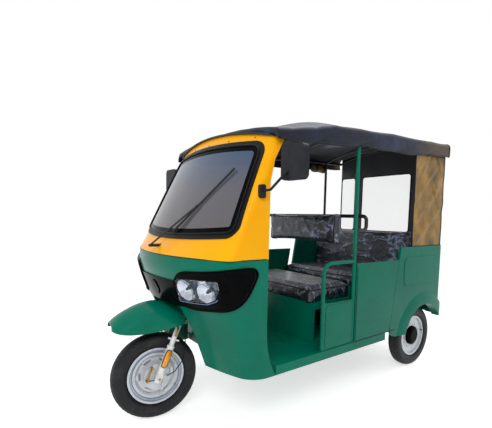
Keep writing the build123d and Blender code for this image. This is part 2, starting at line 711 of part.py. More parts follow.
# Driver's bench: box, cushion, and the backrest on its bent tube between the pillars
BENCH_REAR = BENCH_FRONT + BENCH_DEPTH
with BuildPart() as driver_seat_box:
    extrude(plan(2 * BENCH_HALF, BENCH_FRONT, BENCH_REAR, FLOOR_TOP), amount=BENCH_TOP - FLOOR_TOP)
    room = plan(2 * BENCH_HALF, BENCH_FRONT + BENCH_SHEET, BENCH_REAR - BENCH_SHEET, FLOOR_TOP + BENCH_SHEET)
    extrude(room, amount=BENCH_TOP - BENCH_FASCIA - FLOOR_TOP - BENCH_SHEET, mode=Mode.SUBTRACT)
finish(driver_seat_box.part, "driver_seat_box")

with BuildPart() as driver_cushion:
    cushion_front = BENCH_FRONT - CUSHION_OVERHANG
    cushion_rear = BENCH_REAR + CUSHION_OVERHANG
    pad = plan(2 * CUSHION_HALF, cushion_front, cushion_rear, BENCH_TOP + PIECE_GAP, CUSHION_CORNER)
    extrude(pad, amount=CUSHION_THICK)
finish(driver_cushion.part, "driver_cushion")

with BuildPart() as driver_backrest:
    backrest_rear = BACKREST_FRONT + BACKREST_THICK
    pad = plan(2 * BACKREST_HALF, BACKREST_FRONT, backrest_rear, BACKREST_BOTTOM, BACKREST_CORNER)
    extrude(pad, amount=BACKREST_TOP - BACKREST_BOTTOM)
finish(driver_backrest.part, "driver_backrest")

FRAME_DROP = 95.0
with BuildPart() as backrest_frame:
    frame_y = aft(backrest_rear + TUBE_RADIUS + PIECE_GAP)
    pillar_y = aft(PILLAR_PLACE) + TUBE_RADIUS + PIECE_GAP
    reach = HOOP_X
    high = BACKREST_TOP - TUBE_RADIUS
    low = high - FRAME_DROP
    with BuildLine() as loop:
        FilletPolyline(
            (-reach, pillar_y, low), (-reach, frame_y, low), (-reach, frame_y, high),
            (reach, frame_y, high), (reach, frame_y, low), (reach, pillar_y, low),
            radius=30.0,
        )
    with BuildSketch(Plane(origin=(-reach, pillar_y, low), z_dir=(0, 1, 0))):
        Circle(TUBE_RADIUS)
    sweep()
finish(backrest_frame.part, "backrest_frame")

# Passenger bench at the rear: folded sheet, cushion and backrest
with BuildPart() as rear_seat_box:
    deck_low = REAR_BENCH_TOP - REAR_SHEET
    inner_half = BODY_HALF_WIDTH - PANEL_THICK - PIECE_GAP
    inner_rear = BODY_REAR - PANEL_THICK - PIECE_GAP
    riser_front = REAR_BENCH_FRONT + PIECE_GAP
    riser = plan(2 * (inner_half - SILL_WIDTH), riser_front, riser_front + REAR_SHEET, FLOOR_TOP)
    extrude(riser, amount=REAR_BENCH_TOP - FLOOR_TOP)
    with BuildSketch(Plane.XY.offset(deck_low)):
        with Locations((0, aft(riser_front))):
            RectangleRounded(2 * inner_half, 2 * (inner_rear - riser_front), QUARTER_CORNER - PANEL_THICK)
    extrude(amount=REAR_SHEET)
    split(bisect_by=Plane.XZ.offset(-aft(riser_front)), keep=Keep.BOTTOM)
finish(rear_seat_box.part, "rear_seat_box")

with BuildPart() as rear_cushion:
    low = REAR_BENCH_TOP + PIECE_GAP
    rear = riser_front + REAR_CUSHION_DEPTH - PIECE_GAP
    extrude(plan(2 * (inner_half - 10.0), riser_front, rear, low, CUSHION_CORNER), amount=CUSHION_THICK)
finish(rear_cushion.part, "rear_cushion")

with BuildPart() as rear_backrest:
    front = riser_front + REAR_CUSHION_DEPTH
    pad = plan(2 * (inner_half - 20.0), front, front + BACKREST_THICK, low, BACKREST_CORNER)
    extrude(pad, amount=REAR_BACKREST_TOP - low)
finish(rear_backrest.part, "rear_backrest")


# Roof: canopy skin over two long rails, bows and the rear posts
def roof_section(row, inset):
    """Cross section of the canopy at one place along the roof, moved in by inset."""
    place, edge, shoulder, crown = row
    half = ROOF_HALF_WIDTH - inset
    low = edge if inset == 0 else edge - 60.0
    with BuildSketch(Plane.XZ.offset(-aft(place))) as outline:
        with BuildLine():
            Line((-half, low), (-half, shoulder - inset))
            ThreePointArc((-half, shoulder - inset), (0, crown - inset), (half, shoulder - inset))
            Line((half, shoulder - inset), (half, low))
            Line((half, low), (-half, low))
        make_face()
        fillet(outline.vertices().group_by(Axis.Y)[-1], ROOF_ROUNDING - inset)
    return outline.sketch


def roof_height(place, column):
    """Height of a roof line at a place along the vehicle."""
    for near, far in zip(ROOF_SECTIONS, ROOF_SECTIONS[1:]):
        if near[0] <= place <= far[0]:
            share = (place - near[0]) / (far[0] - near[0])
            return near[column] + share * (far[column] - near[column])
    raise ValueError("place is off the roof")


with BuildPart() as roof_canopy:
    loft(sections=[roof_section(row, 0.0) for row in ROOF_SECTIONS], ruled=True)
    loft(sections=[roof_section(row, ROOF_SKIN) for row in ROOF_SECTIONS], ruled=True, mode=Mode.SUBTRACT)
finish(roof_canopy.part, "roof_canopy")

# Front cover: the canvas hem over the cab's crown, standing ahead of the windscreen as a brow
with BuildPart() as cab_cover:
    cab_loft(UPPER_SECTIONS, PILLAR_CORNER, -BROW_REACH, False)
    cab_profile(-COVER_THICK, Mode.INTERSECT)
    cab_profile(-PIECE_GAP, Mode.SUBTRACT)
    with BuildSketch(Plane.XY.offset(CAB_SHOULDER - BROW_DROP)):
        with Locations((0, aft(COVER_REAR / 2))):
            Rectangle(2 * ROOF_HALF_WIDTH, COVER_REAR)
    extrude(amount=CAB_CROWN, mode=Mode.INTERSECT)
finish(cab_cover.part, "cab_cover")

ROOF_RAIL_X = HOOP_X - 2 * TUBE_RADIUS - PIECE_GAP
RAIL_UNDER_SHOULDER = 62.0
RAIL_PLACES = (515.0, 870.0, 1500.0, ROOF_REAR - 32.0)
BOW_PLACES = (870.0, PILLAR_PLACE, 1500.0, REAR_POST_PLACE, ROOF_REAR - 40.0)
BOW_RADIUS = 9.0


def rail_height(place):
    """Height of the roof rails' centre line at a place along the vehicle."""
    return roof_height(place, 2) - RAIL_UNDER_SHOULDER


with BuildPart() as roof_frame:
    for side in (1, -1):
        x = side * ROOF_RAIL_X
        points = [Vector(x, aft(place), rail_height(place)) for place in RAIL_PLACES]
        for start, stop in zip(points, points[1:]):
            with BuildSketch(Plane(origin=start, z_dir=stop - start)):
                Circle(TUBE_RADIUS)
            extrude(amount=(stop - start).length)
        with Locations(*points[1:-1]):
            Sphere(TUBE_RADIUS)
        with BuildSketch(Plane.XY.offset(REAR_BENCH_TOP + PIECE_GAP)):
            with Locations((x, aft(REAR_POST_PLACE))):
                Circle(TUBE_RADIUS)
        extrude(amount=rail_height(REAR_POST_PLACE) - REAR_BENCH_TOP)
    for place in BOW_PLACES:
        y = aft(place)
        side_z = rail_height(place)
        crown_z = roof_height(place, 3) - ROOF_SKIN - BOW_RADIUS - 8.0
        with BuildLine(Plane.XZ.offset(-y)) as bow:
            ThreePointArc((-ROOF_RAIL_X, side_z), (0, crown_z), (ROOF_RAIL_X, side_z))
        with BuildSketch(Plane(origin=bow.line @ 0, z_dir=bow.line % 0)):
            Circle(BOW_RADIUS)
        sweep()
finish(roof_frame.part, "roof_frame")

# Curtains: left side and rear hang, the right one is rolled up under its rail
with BuildPart() as curtain_left:
    with BuildSketch(Plane.YZ.offset(BODY_HALF_WIDTH - PANEL_THICK - CURTAIN_THICK - PIECE_GAP + 14.0)):
        with BuildLine():
            Polyline(
                (aft(CURTAIN_FRONT), QUARTER_TOP + PIECE_GAP),
                (aft(ROOF_REAR - 30.0), QUARTER_TOP + PIECE_GAP),
                (aft(ROOF_REAR - 30.0), CURTAIN_TOP + 40.0),
                (aft(CURTAIN_FRONT), CURTAIN_TOP),
                close=True,
            )
        make_face()
    extrude(amount=CURTAIN_THICK)
finish(curtain_left.part, "curtain_left")

# Clear lights of the rear curtain: centre across the vehicle, width
REAR_LIGHTS = ((0.0, 540.0), (450.0, 180.0), (-450.0, 180.0))
LIGHT_LEVEL = 1380.0
LIGHT_HEIGHT = 540.0
LIGHT_CORNER = 30.0
CURTAIN_HALF = 550.0
with BuildPart() as curtain_rear:
    side_top = CURTAIN_TOP + 60.0
    crown_top = roof_height(ROOF_REAR - CURTAIN_THICK, 3) - ROOF_SKIN - 3.0
    with BuildSketch(Plane.XZ.offset(-aft(ROOF_REAR - 22.0))):
        with BuildLine():
            Polyline(
                (-CURTAIN_HALF, side_top), (-CURTAIN_HALF, QUARTER_TOP + PIECE_GAP),
                (CURTAIN_HALF, QUARTER_TOP + PIECE_GAP), (CURTAIN_HALF, side_top),
            )
            ThreePointArc((CURTAIN_HALF, side_top), (0, crown_top), (-CURTAIN_HALF, side_top))
        make_face()
        for centre, width in REAR_LIGHTS:
            with Locations((centre, LIGHT_LEVEL)):
                RectangleRounded(width, LIGHT_HEIGHT, LIGHT_CORNER, mode=Mode.SUBTRACT)
    extrude(amount=-CURTAIN_THICK)
finish(curtain_rear.part, "curtain_rear")

ROLL_RADIUS = 34.0
with BuildPart() as curtain_roll_right:
    roll_front = CURTAIN_FRONT + 30.0
    roll_x = ROOF_HALF_WIDTH - ROOF_SKIN - ROLL_RADIUS - 6.0
    roll_z = rail_height(roll_front) - TUBE_RADIUS - ROLL_RADIUS - 12.0
    with BuildSketch(Plane.XZ.offset(-aft(roll_front))):
        with Locations((-roll_x, roll_z)):
            Circle(ROLL_RADIUS)
    extrude(amount=-(REAR_POST_PLACE - TUBE_RADIUS - 4.0 - roll_front))
finish(curtain_roll_right.part, "curtain_roll_right")

# Mirrors on bent arms from both cab pillars
MIRROR_FOOT_LEVEL = 1345.0
MIRROR_FOOT_PLACE = 330.0
MIRROR_ARM_RADIUS = 7.0
MIRROR_FOOT_WIDTH = 36.0
MIRROR_FOOT_HEIGHT = 70.0
MIRROR_FOOT_SINK = 10.0
with BuildPart() as mirrors:
    foot_x = BODY_HALF_WIDTH + PIECE_GAP
    with BuildSketch(Plane.YZ.offset(foot_x - MIRROR_FOOT_SINK)):
        with Locations((aft(MIRROR_FOOT_PLACE), MIRROR_FOOT_LEVEL)):
            RectangleRounded(MIRROR_FOOT_WIDTH, MIRROR_FOOT_HEIGHT, 10.0)
    extrude(amount=MIRROR_FOOT_SINK + 12.0)
    knee = Vector(foot_x + 46.0, aft(MIRROR_FOOT_PLACE + 20.0), MIRROR_FOOT_LEVEL + 8.0)
    foot = Vector(foot_x + 6.0, aft(MIRROR_FOOT_PLACE), MIRROR_FOOT_LEVEL + 2.0)
    head = Vector(MIRROR_CENTRE - 20.0, aft(MIRROR_PLACE) - 4.0, MIRROR_LEVEL - 20.0)
    for start, stop in ((foot, knee), (knee, head)):
        with BuildSketch(Plane(origin=start, z_dir=stop - start)):
            Circle(MIRROR_ARM_RADIUS)
        extrude(amount=(stop - start).length)
    with Locations(knee):
        Sphere(MIRROR_ARM_RADIUS)
    with BuildSketch(Plane.XZ.offset(-aft(MIRROR_PLACE))):
        with Locations((MIRROR_CENTRE, MIRROR_LEVEL)):
            RectangleRounded(MIRROR_WIDTH, MIRROR_HEIGHT, 28.0)
    extrude(amount=MIRROR_DEPTH / 2, both=True)
    add(upper_outside.part, mode=Mode.SUBTRACT)
    mirror(about=Plane.YZ)
finish(mirrors.part, "mirrors")

# Rear axle, springs, drive motor and battery
DRUM_WIDTH = 42.0
WHEEL_GAP = 5.0
DRUM_OUTER = REAR_TRACK_HALF - RIM_HALF_WIDTH + RIM_HUB_INSET - WHEEL_GAP
with BuildPart() as rear_axle:
    with BuildSketch(Plane.YZ) as tube:
        with Locations((aft(WHEELBASE), TYRE_RADIUS)):
            Circle(AXLE_TUBE_RADIUS)
    extrude(amount=DRUM_OUTER - DRUM_WIDTH, both=True)
    with BuildSketch(Plane.YZ):
        with Locations((aft(WHEELBASE), TYRE_RADIUS)):
            Circle(AXLE_RADIUS)
    extrude(amount=REAR_TRACK_HALF + 14.0, both=True)
    for side in (1, -1):
        with BuildSketch(Plane.YZ.offset(side * DRUM_OUTER)):
            with Locations((aft(WHEELBASE), TYRE_RADIUS)):
                Circle(DRUM_RADIUS)
        extrude(amount=-side * DRUM_WIDTH)
finish(rear_axle.part, "rear_axle")

MOTOR_RADIUS = 88.0
with BuildPart() as motor_block:
    with BuildSketch(Plane.XZ.offset(-aft(WHEELBASE + AXLE_TUBE_RADIUS + PIECE_GAP))):
        with Locations((0, TYRE_RADIUS)):
            RectangleRounded(2 * MOTOR_RADIUS, 1.3 * MOTOR_RADIUS, 24.0)
    extrude(amount=-190.0)
finish(motor_block.part, "motor_block")

SPRING_X = RAIL_HALF_SPAN + RAIL_WIDTH / 2 + SPRING_WIDTH / 2 + 6.0
with BuildPart() as leaf_springs:
    seat_z = TYRE_RADIUS + AXLE_TUBE_RADIUS + PIECE_GAP
    for side in (1, -1):
        with BuildSketch(Plane.YZ.offset(side * SPRING_X)):
            with BuildLine():
                near = (aft(WHEELBASE - SPRING_HALF_LENGTH), seat_z + SPRING_RISE)
                far = (aft(WHEELBASE + SPRING_HALF_LENGTH), seat_z + SPRING_RISE)
                near_top = (near[0], near[1] + SPRING_THICK / 2)
                far_top = (far[0], far[1] + SPRING_THICK / 2)
                ThreePointArc(near, (aft(WHEELBASE), seat_z), far)
                Line(far, far_top)
                ThreePointArc(far_top, (aft(WHEELBASE), seat_z + SPRING_THICK), near_top)
                Line(near_top, near)
            make_face()
        extrude(amount=SPRING_WIDTH / 2, both=True)
        for end in (near, far):
            with BuildSketch(Plane.XY.offset(end[1])):
                with Locations((side * (SPRING_X - 20.0), end[0])):
                    Rectangle(SPRING_WIDTH + 30.0, 24.0)
            extrude(amount=RAIL_TOP - RAIL_DEPTH - PIECE_GAP - end[1])
finish(leaf_springs.part, "leaf_springs")

BATTERY_WIDTH = 560.0
BATTERY_DEPTH = 260.0
BATTERY_HEIGHT = 225.0
with BuildPart() as battery_block:
    battery_front = REAR_BENCH_FRONT + REAR_SHEET + 20.0
    battery_foot = RAIL_TOP + PIECE_GAP
    extrude(plan(BATTERY_WIDTH, battery_front, battery_front + BATTERY_DEPTH, battery_foot), amount=BATTERY_HEIGHT)
finish(battery_block.part, "battery_block")


# Wheels: profiles are drawn as (radius, place across the wheel) and turned about the axle
def tyre_solid(centre):
    """Tyre with a round shoulder on each side, turned about its axle at a centre point."""
    tread = TYRE_RADIUS
    shoulder = TYRE_RADIUS - 12.0
    bead = RIM_FLANGE_RADIUS - 9.0
    seat = RIM_FLANGE_RADIUS + PIECE_GAP
    toe = RIM_HALF_WIDTH - RIM_WALL
    with BuildPart() as tyre:
        with BuildSketch(Plane(origin=centre, x_dir=(0, 0, 1), z_dir=(0, 1, 0))):
            with BuildLine():
                Polyline(
                    (seat, -RIM_HALF_WIDTH), (seat, -toe), (bead, -toe),
                    (bead, toe), (seat, toe), (seat, RIM_HALF_WIDTH),
                )
                ThreePointArc(
                    (seat, RIM_HALF_WIDTH),
                    ((bead + shoulder) / 2, TYRE_HALF_WIDTH),
                    (shoulder, TYRE_HALF_WIDTH - 9.0),
                )
                ThreePointArc(
                    (shoulder, TYRE_HALF_WIDTH - 9.0), (tread, 0), (shoulder, 9.0 - TYRE_HALF_WIDTH)
                )
                ThreePointArc(
                    (shoulder, 9.0 - TYRE_HALF_WIDTH),
                    ((bead + shoulder) / 2, -TYRE_HALF_WIDTH),
                    (seat, -RIM_HALF_WIDTH),
                )
            make_face()
        revolve(axis=Axis(centre, (1, 0, 0)))
    return tyre.part


def rim_solid(centre, side, rings, pockets, cap):
    """Rim with its well, disc, hub and the cap or drum on its face.

    Rings are (radius, place across) steps of the disc's face, and the cap is bore, radius, foot, top and dome.
    """
    cap_bore, cap_radius, cap_foot, cap_top, cap_dome = cap
    cap_flat = 0.5 * cap_radius
    bead = RIM_FLANGE_RADIUS - 9.0 - PIECE_GAP
    inner = bead - RIM_WALL
    with BuildPart() as rim:
        with BuildSketch(Plane(origin=centre, x_dir=(0, 0, 1), z_dir=(0, side, 0))):
            with BuildLine():
                Polyline(
                    (HUB_RADIUS, -RIM_HALF_WIDTH + RIM_HUB_INSET),
                    *[(radius, across - RIM_DISC) for radius, across in rings],
                    (inner, rings[-1][1] - RIM_DISC),
                    (inner, -RIM_HALF_WIDTH),
                    (RIM_FLANGE_RADIUS, -RIM_HALF_WIDTH),
                    (RIM_FLANGE_RADIUS, -RIM_HALF_WIDTH + RIM_WALL - PIECE_GAP),
                    (bead, -RIM_HALF_WIDTH + RIM_WALL - PIECE_GAP),
                    (bead, RIM_HALF_WIDTH - RIM_WALL + PIECE_GAP),
                    (RIM_FLANGE_RADIUS, RIM_HALF_WIDTH - RIM_WALL + PIECE_GAP),
                    (RIM_FLANGE_RADIUS, RIM_HALF_WIDTH),
                    (inner, RIM_HALF_WIDTH),
                    (inner, rings[-1][1]),
                    *[(radius, across) for radius, across in reversed(rings)],
                    (HUB_RADIUS, rings[0][1] + 6.0),
                    (AXLE_RADIUS + BEARING_GAP, rings[0][1] + 6.0),
                    (AXLE_RADIUS + BEARING_GAP, -RIM_HALF_WIDTH + RIM_HUB_INSET),
                    close=True,
                )
            make_face()
        revolve(axis=Axis(centre, (1, 0, 0)))
        with BuildSketch(Plane(origin=centre, x_dir=(0, 1, 0), z_dir=(1, 0, 0))):
            with PolarLocations(pockets[0], POCKETS):
                RectangleRounded(pockets[1], pockets[2], pockets[1] * 0.35)
        extrude(amount=TYRE_HALF_WIDTH, both=True, mode=Mode.SUBTRACT)
        with BuildSketch(Plane(origin=centre, x_dir=(0, 0, 1), z_dir=(0, side, 0))):
            with BuildLine():
                Polyline(
                    (cap_flat, cap_top), (cap_bore, cap_top), (cap_bore, cap_foot),
                    (cap_radius, cap_foot), (cap_radius, cap_top - cap_dome),
                )
                ThreePointArc(
                    (cap_radius, cap_top - cap_dome),
                    (cap_flat + 0.7 * (cap_radius - cap_flat), cap_top - 0.4 * cap_dome),
                    (cap_flat, cap_top),
                )
            make_face()
        revolve(axis=Axis(centre, (1, 0, 0)))
    return rim.part


# Disc steps from the hub outwards: radius, place across the wheel towards its outer face
REAR_RINGS = ((HUB_RADIUS + 12.0, 22.0), (92.0, 12.0), (118.0, 20.0))
FRONT_RINGS = ((HUB_RADIUS + 8.0, 14.0), (70.0, 8.0), (104.0, 8.0), (122.0, 20.0))
REAR_POCKET = (101.0, 12.0, 22.0)
FRONT_POCKET = (98.0, 26.0, 50.0)
REAR_CAP = (0.0, 76.0, 14.5, 50.0, 14.0)
FRONT_DRUM = (AXLE_RADIUS + BEARING_GAP, 68.0, 2.0, 37.0, 3.0)

for side_name, side in SIDES:
    hub = (side * REAR_TRACK_HALF, aft(WHEELBASE), TYRE_RADIUS)
    finish(tyre_solid(hub), f"tyre_rear_{side_name}")
    finish(rim_solid(hub, side, REAR_RINGS, REAR_POCKET, REAR_CAP), f"rim_rear_{side_name}")

FRONT_HUB = (0, aft(0), TYRE_RADIUS)
finish(turned(tyre_solid(FRONT_HUB)), "tyre_front")
finish(turned(rim_solid(FRONT_HUB, 1, FRONT_RINGS, FRONT_POCKET, FRONT_DRUM)), "rim_front")

# Fork: crown, two legs with their lower sliders, the front axle and the steerer
LEG_FOOT = AXLE_ALONG - 22.0
SLIDER_LENGTH = 210.0
with BuildPart() as fork:
    with BuildSketch(steering_plane(LEG_FOOT)):
        with Locations((FORK_HALF_SPAN, LEG_Y), (-FORK_HALF_SPAN, LEG_Y)):
            Circle(FORK_SLIDER_RADIUS)
    extrude(amount=SLIDER_LENGTH)
    with BuildSketch(steering_plane(LEG_FOOT)):
        with Locations((FORK_HALF_SPAN, LEG_Y), (-FORK_HALF_SPAN, LEG_Y)):
            Circle(FORK_TUBE_RADIUS)
    extrude(amount=FORK_CROWN_HEIGHT - LEG_FOOT)
    with BuildSketch(steering_plane(FORK_CROWN_HEIGHT)):
        with BuildLine():
            Polyline(
                (-FORK_HALF_SPAN - 22.0, LEG_Y - 24.0), (FORK_HALF_SPAN + 22.0, LEG_Y - 24.0),
                (FORK_HALF_SPAN + 22.0, LEG_Y + 20.0), (26.0, 26.0),
                (-26.0, 26.0), (-FORK_HALF_SPAN - 22.0, LEG_Y + 20.0),
                close=True,
            )
        make_face()
    extrude(amount=FORK_CROWN_THICK)
    with BuildSketch(steering_plane(FORK_CROWN_HEIGHT)):
        Circle(STEERER_RADIUS)
    extrude(amount=HANDLEBAR_HEIGHT - FORK_CROWN_HEIGHT - HANDLEBAR_RADIUS - PIECE_GAP)
    with BuildSketch(Plane.YZ):
        with Locations((aft(0), TYRE_RADIUS)):
            Circle(AXLE_RADIUS)
    extrude(amount=FORK_HALF_SPAN + 26.0, both=True)
finish(turned(fork.part), "fork")


# Front fender on the fork crown: a domed skin that follows the wheel's top
def fender_section(row, thin):
    """Cross section of the fender, its outer skin or the hollow under it."""
    place, half, edge, crown = row
    half_width = half - thin
    low = edge - 40.0 * (thin > 0)
    with BuildSketch(Plane.XZ.offset(-aft(place))) as outline:
        with BuildLine():
            Line((-half_width, low), (-half_width, edge + FENDER_LIP))
            ThreePointArc(
                (-half_width, edge + FENDER_LIP), (0, crown - thin), (half_width, edge + FENDER_LIP)
            )
            Line((half_width, edge + FENDER_LIP), (half_width, low))
            Line((half_width, low), (-half_width, low))
        make_face()
    return outline.sketch


with BuildPart() as fender_front:
    loft(sections=[fender_section(row, 0.0) for row in FENDER_SECTIONS])
    loft(sections=[fender_section(row, FENDER_SKIN) for row in FENDER_SECTIONS], mode=Mode.SUBTRACT)
    with BuildSketch(steering_plane(FORK_CROWN_HEIGHT)):
        Circle(STEERER_RADIUS + PIECE_GAP)
    extrude(amount=HEAD_TUBE_FOOT - FORK_CROWN_HEIGHT, mode=Mode.SUBTRACT)
finish(turned(fender_front.part), "fender_front")

# Front brake: backing plate with its lever, on the left of the wheel inside the fork leg
BRAKE_RADIUS = 76.0
CABLE_RADIUS = 3.0
CABLE_X = 63.0
CABLE_STOP = (aft(56.0), TYRE_RADIUS - 2.0)
with BuildPart() as brake_plate:
    plate_x = RIM_HALF_WIDTH + 8.0
    with BuildSketch(Plane.YZ.offset(plate_x)):
        with Locations((aft(0), TYRE_RADIUS)):
            Circle(BRAKE_RADIUS)
            Circle(AXLE_RADIUS + PIECE_GAP, mode=Mode.SUBTRACT)
    extrude(amount=10.0)
    with BuildSketch(Plane.YZ.offset(plate_x + 10.0)):
        with BuildLine():
            Polyline(
                (aft(40.0), TYRE_RADIUS + 30.0), (aft(52.0), TYRE_RADIUS + 30.0),
                (aft(30.0), TYRE_RADIUS - 84.0), (aft(18.0), TYRE_RADIUS - 84.0),
                close=True,
            )
        make_face()
    extrude(amount=6.0)
    with BuildSketch(Plane.YZ.offset(plate_x + 10.0)):
        with Locations(CABLE_STOP):
            Circle(2 * CABLE_RADIUS)
    extrude(amount=CABLE_X - CABLE_RADIUS - PIECE_GAP - plate_x - 10.0)
finish(turned(brake_plate.part), "brake_plate")

# Front brake cable from its stop on the plate, back over the tyre's side and up to the fork crown
CABLE_ROUTE = ((56.0, -2.0), (104.0, 16.0), (150.0, 72.0), (172.0, 160.0), (163.5, 297.0))
CABLE_BENDS = (22.0, 60.0, 110.0)
with BuildPart() as brake_cable:
    with BuildLine() as run:
        corners = [(CABLE_X, aft(back), TYRE_RADIUS + up) for back, up in CABLE_ROUTE]
        FilletPolyline(*corners, radius=CABLE_BENDS)
    with BuildSketch(Plane(origin=run.line @ 0, z_dir=run.line % 0)):
        Circle(CABLE_RADIUS)
    sweep()
finish(turned(brake_cable.part), "brake_cable")

# Handlebar with its grips
with BuildPart() as handlebar:
    bar_plane = steering_plane(HANDLEBAR_HEIGHT)
    points = [
        bar_plane.from_local_coords(place)
        for place in (
            (-HANDLEBAR_HALF, 60.0, 10.0), (-0.5 * HANDLEBAR_HALF, 0.0, 0.0),
            (0.5 * HANDLEBAR_HALF, 0.0, 0.0), (HANDLEBAR_HALF, 60.0, 10.0),
        )
    ]
    with BuildLine() as bar:
        FilletPolyline(*points, radius=60.0)
    with BuildSketch(Plane(origin=bar.line @ 0, z_dir=bar.line % 0)):
        Circle(HANDLEBAR_RADIUS)
    sweep()
    for start, towards in ((bar.line @ 0, bar.line % 0), (bar.line @ 1, -(bar.line % 1))):
        with BuildSketch(Plane(origin=start - towards * 8.0, z_dir=towards)):
            Circle(GRIP_RADIUS)
        extrude(amount=GRIP_LENGTH)
finish(turned(handlebar.part), "handlebar")
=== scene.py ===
"""Looks of a three-wheeled electric auto rickshaw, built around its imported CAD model.

Lengths are metres in the row frame: the front faces -Y, the vehicle's left is +X and Z is up
from the ground. Sizes that belong to a pattern are given in millimetres and turned by mm().
"""
from __future__ import annotations

import json
import logging
import math
import random
from dataclasses import dataclass, field
from enum import Enum
from typing import Any, Callable, Iterable, Sequence

import bmesh
import bpy
from mathutils import Matrix, Vector, noise
from mathutils.bvhtree import BVHTree

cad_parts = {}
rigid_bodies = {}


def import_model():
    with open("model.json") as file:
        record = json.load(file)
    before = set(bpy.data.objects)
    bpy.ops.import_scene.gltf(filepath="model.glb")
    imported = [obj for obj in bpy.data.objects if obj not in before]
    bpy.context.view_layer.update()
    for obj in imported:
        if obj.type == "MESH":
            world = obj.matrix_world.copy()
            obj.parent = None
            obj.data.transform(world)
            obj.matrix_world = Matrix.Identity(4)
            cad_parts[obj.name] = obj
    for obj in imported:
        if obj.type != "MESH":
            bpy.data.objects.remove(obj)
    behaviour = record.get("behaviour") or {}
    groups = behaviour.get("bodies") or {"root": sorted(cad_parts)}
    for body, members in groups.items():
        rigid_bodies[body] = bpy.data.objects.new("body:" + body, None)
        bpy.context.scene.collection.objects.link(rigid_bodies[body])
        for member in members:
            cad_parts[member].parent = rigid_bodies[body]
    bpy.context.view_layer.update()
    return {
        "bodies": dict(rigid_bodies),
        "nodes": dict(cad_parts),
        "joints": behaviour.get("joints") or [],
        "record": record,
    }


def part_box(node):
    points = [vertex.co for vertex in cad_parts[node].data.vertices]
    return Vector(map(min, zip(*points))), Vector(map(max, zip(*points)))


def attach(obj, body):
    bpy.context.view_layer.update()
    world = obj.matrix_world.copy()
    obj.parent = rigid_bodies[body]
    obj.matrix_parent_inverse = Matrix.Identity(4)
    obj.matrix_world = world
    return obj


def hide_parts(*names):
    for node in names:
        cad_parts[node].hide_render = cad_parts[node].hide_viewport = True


LOG = logging.getLogger("auto_rickshaw")

Point = tuple[float, float, float]
FRONT_AXLE_Y = -1.040
PHOTO_WIDTH = 492
PHOTO_HEIGHT = 428


def mm(value: float) -> float:
    """Millimetres as metres."""
    return value / 1000.0


def aft(distance: float) -> float:
    """Y of a place given in metres behind the front axle."""
    return FRONT_AXLE_Y + distance


def linear(colour: str, alpha: float = 1.0) -> tuple[float, float, float, float]:
    """Turn an sRGB hex colour into linear light.

    Args:
        colour: six hex digits after a hash sign.
        alpha: the fourth value, passed through.

    Returns:
        Red, green, blue and alpha.
    """
    parts = [int(colour[i:i + 2], 16) / 255.0 for i in (1, 3, 5)]
    red, green, blue = [
        part / 12.92 if part <= 0.04045 else ((part + 0.055) / 1.055) ** 2.4 for part in parts
    ]
    return red, green, blue, alpha


def add_node(
    tree: bpy.types.NodeTree, kind: str, sockets: dict[str | int, Any] | None = None, **settings: Any
) -> bpy.types.Node:
    """Add one shader node with its settings, its fixed values and its links.

    Args:
        tree: the node tree that gets the node.
        kind: the node's type name.
        sockets: input name or number to a value, or to the output socket that feeds it.
        settings: attributes of the node itself.

    Returns:
        The new node.
    """
    node = tree.nodes.new(kind)
    for name, value in settings.items():
        setattr(node, name, value)
    for name, value in (sockets or {}).items():
        if isinstance(value, bpy.types.NodeSocket):
            tree.links.new(value, node.inputs[name])
        else:
            node.inputs[name].default_value = value
    return node


def new_material(name: str) -> tuple[bpy.types.Material, bpy.types.NodeTree]:
    """Make an empty node material.

    Args:
        name: the material's name.

    Returns:
        The material and its node tree.
    """
    material = bpy.data.materials.new(name)
    material.use_nodes = True
    material.node_tree.nodes.clear()
    return material, material.node_tree


def close_material(tree: bpy.types.NodeTree, shader: bpy.types.Node) -> None:
    """Link a shader to the material's output."""
    add_node(tree, "ShaderNodeOutputMaterial", {"Surface": shader.outputs[0]})


def object_coords(tree: bpy.types.NodeTree) -> bpy.types.NodeSocket:
    """Place on the piece in metres, which doesn't depend on the camera."""
    return add_node(tree, "ShaderNodeTexCoord").outputs["Object"]


def ramp(
    tree: bpy.types.NodeTree, factor: bpy.types.NodeSocket, stops: Sequence[tuple[float, Any]]
) -> bpy.types.Node:
    """Colour ramp with stops given as (place, linear colour)."""
    node = add_node(tree, "ShaderNodeValToRGB", {"Fac": factor})
    elements = node.color_ramp.elements
    while len(elements) < len(stops):
        elements.new(0.5)
    for element, (place, colour) in zip(elements, stops):
        element.position = place
        element.color = colour
    return node


@dataclass(frozen=True)
class Finish:
    """A finish: its name and the nodes that give its look."""

    name: str

    def paint(self, tree: bpy.types.NodeTree) -> bpy.types.Node:
        """Add the finish's nodes and return its shader."""
        raise NotImplementedError

    def build(self) -> bpy.types.Material:
        """Make the material."""
        material, tree = new_material(self.name)
        close_material(tree, self.paint(tree))
        return material


def grain(tree: bpy.types.NodeTree, size_mm: float, detail: float = 2.0, stretch: Point = (1.0, 1.0, 1.0)) -> bpy.types.Node:
    """Noise whose cells measure size_mm on the piece, stretched along its axes."""
    place = add_node(tree, "ShaderNodeMapping", {"Vector": object_coords(tree), "Scale": stretch})
    return add_node(
        tree, "ShaderNodeTexNoise",
        {"Vector": place.outputs[0], "Scale": 1.0 / mm(size_mm), "Detail": detail, "Roughness": 0.6},
    )


def bump_of(tree: bpy.types.NodeTree, height: bpy.types.NodeSocket, depth_mm: float, strength: float = 1.0, below: bpy.types.NodeSocket | None = None) -> bpy.types.NodeSocket:
    """Normal of a surface with a relief that is depth_mm deep, laid over another one."""
    sockets: dict[str | int, Any] = {"Height": height, "Strength": strength, "Distance": mm(depth_mm)}
    if below is not None:
        sockets["Normal"] = below
    return add_node(tree, "ShaderNodeBump", sockets).outputs["Normal"]


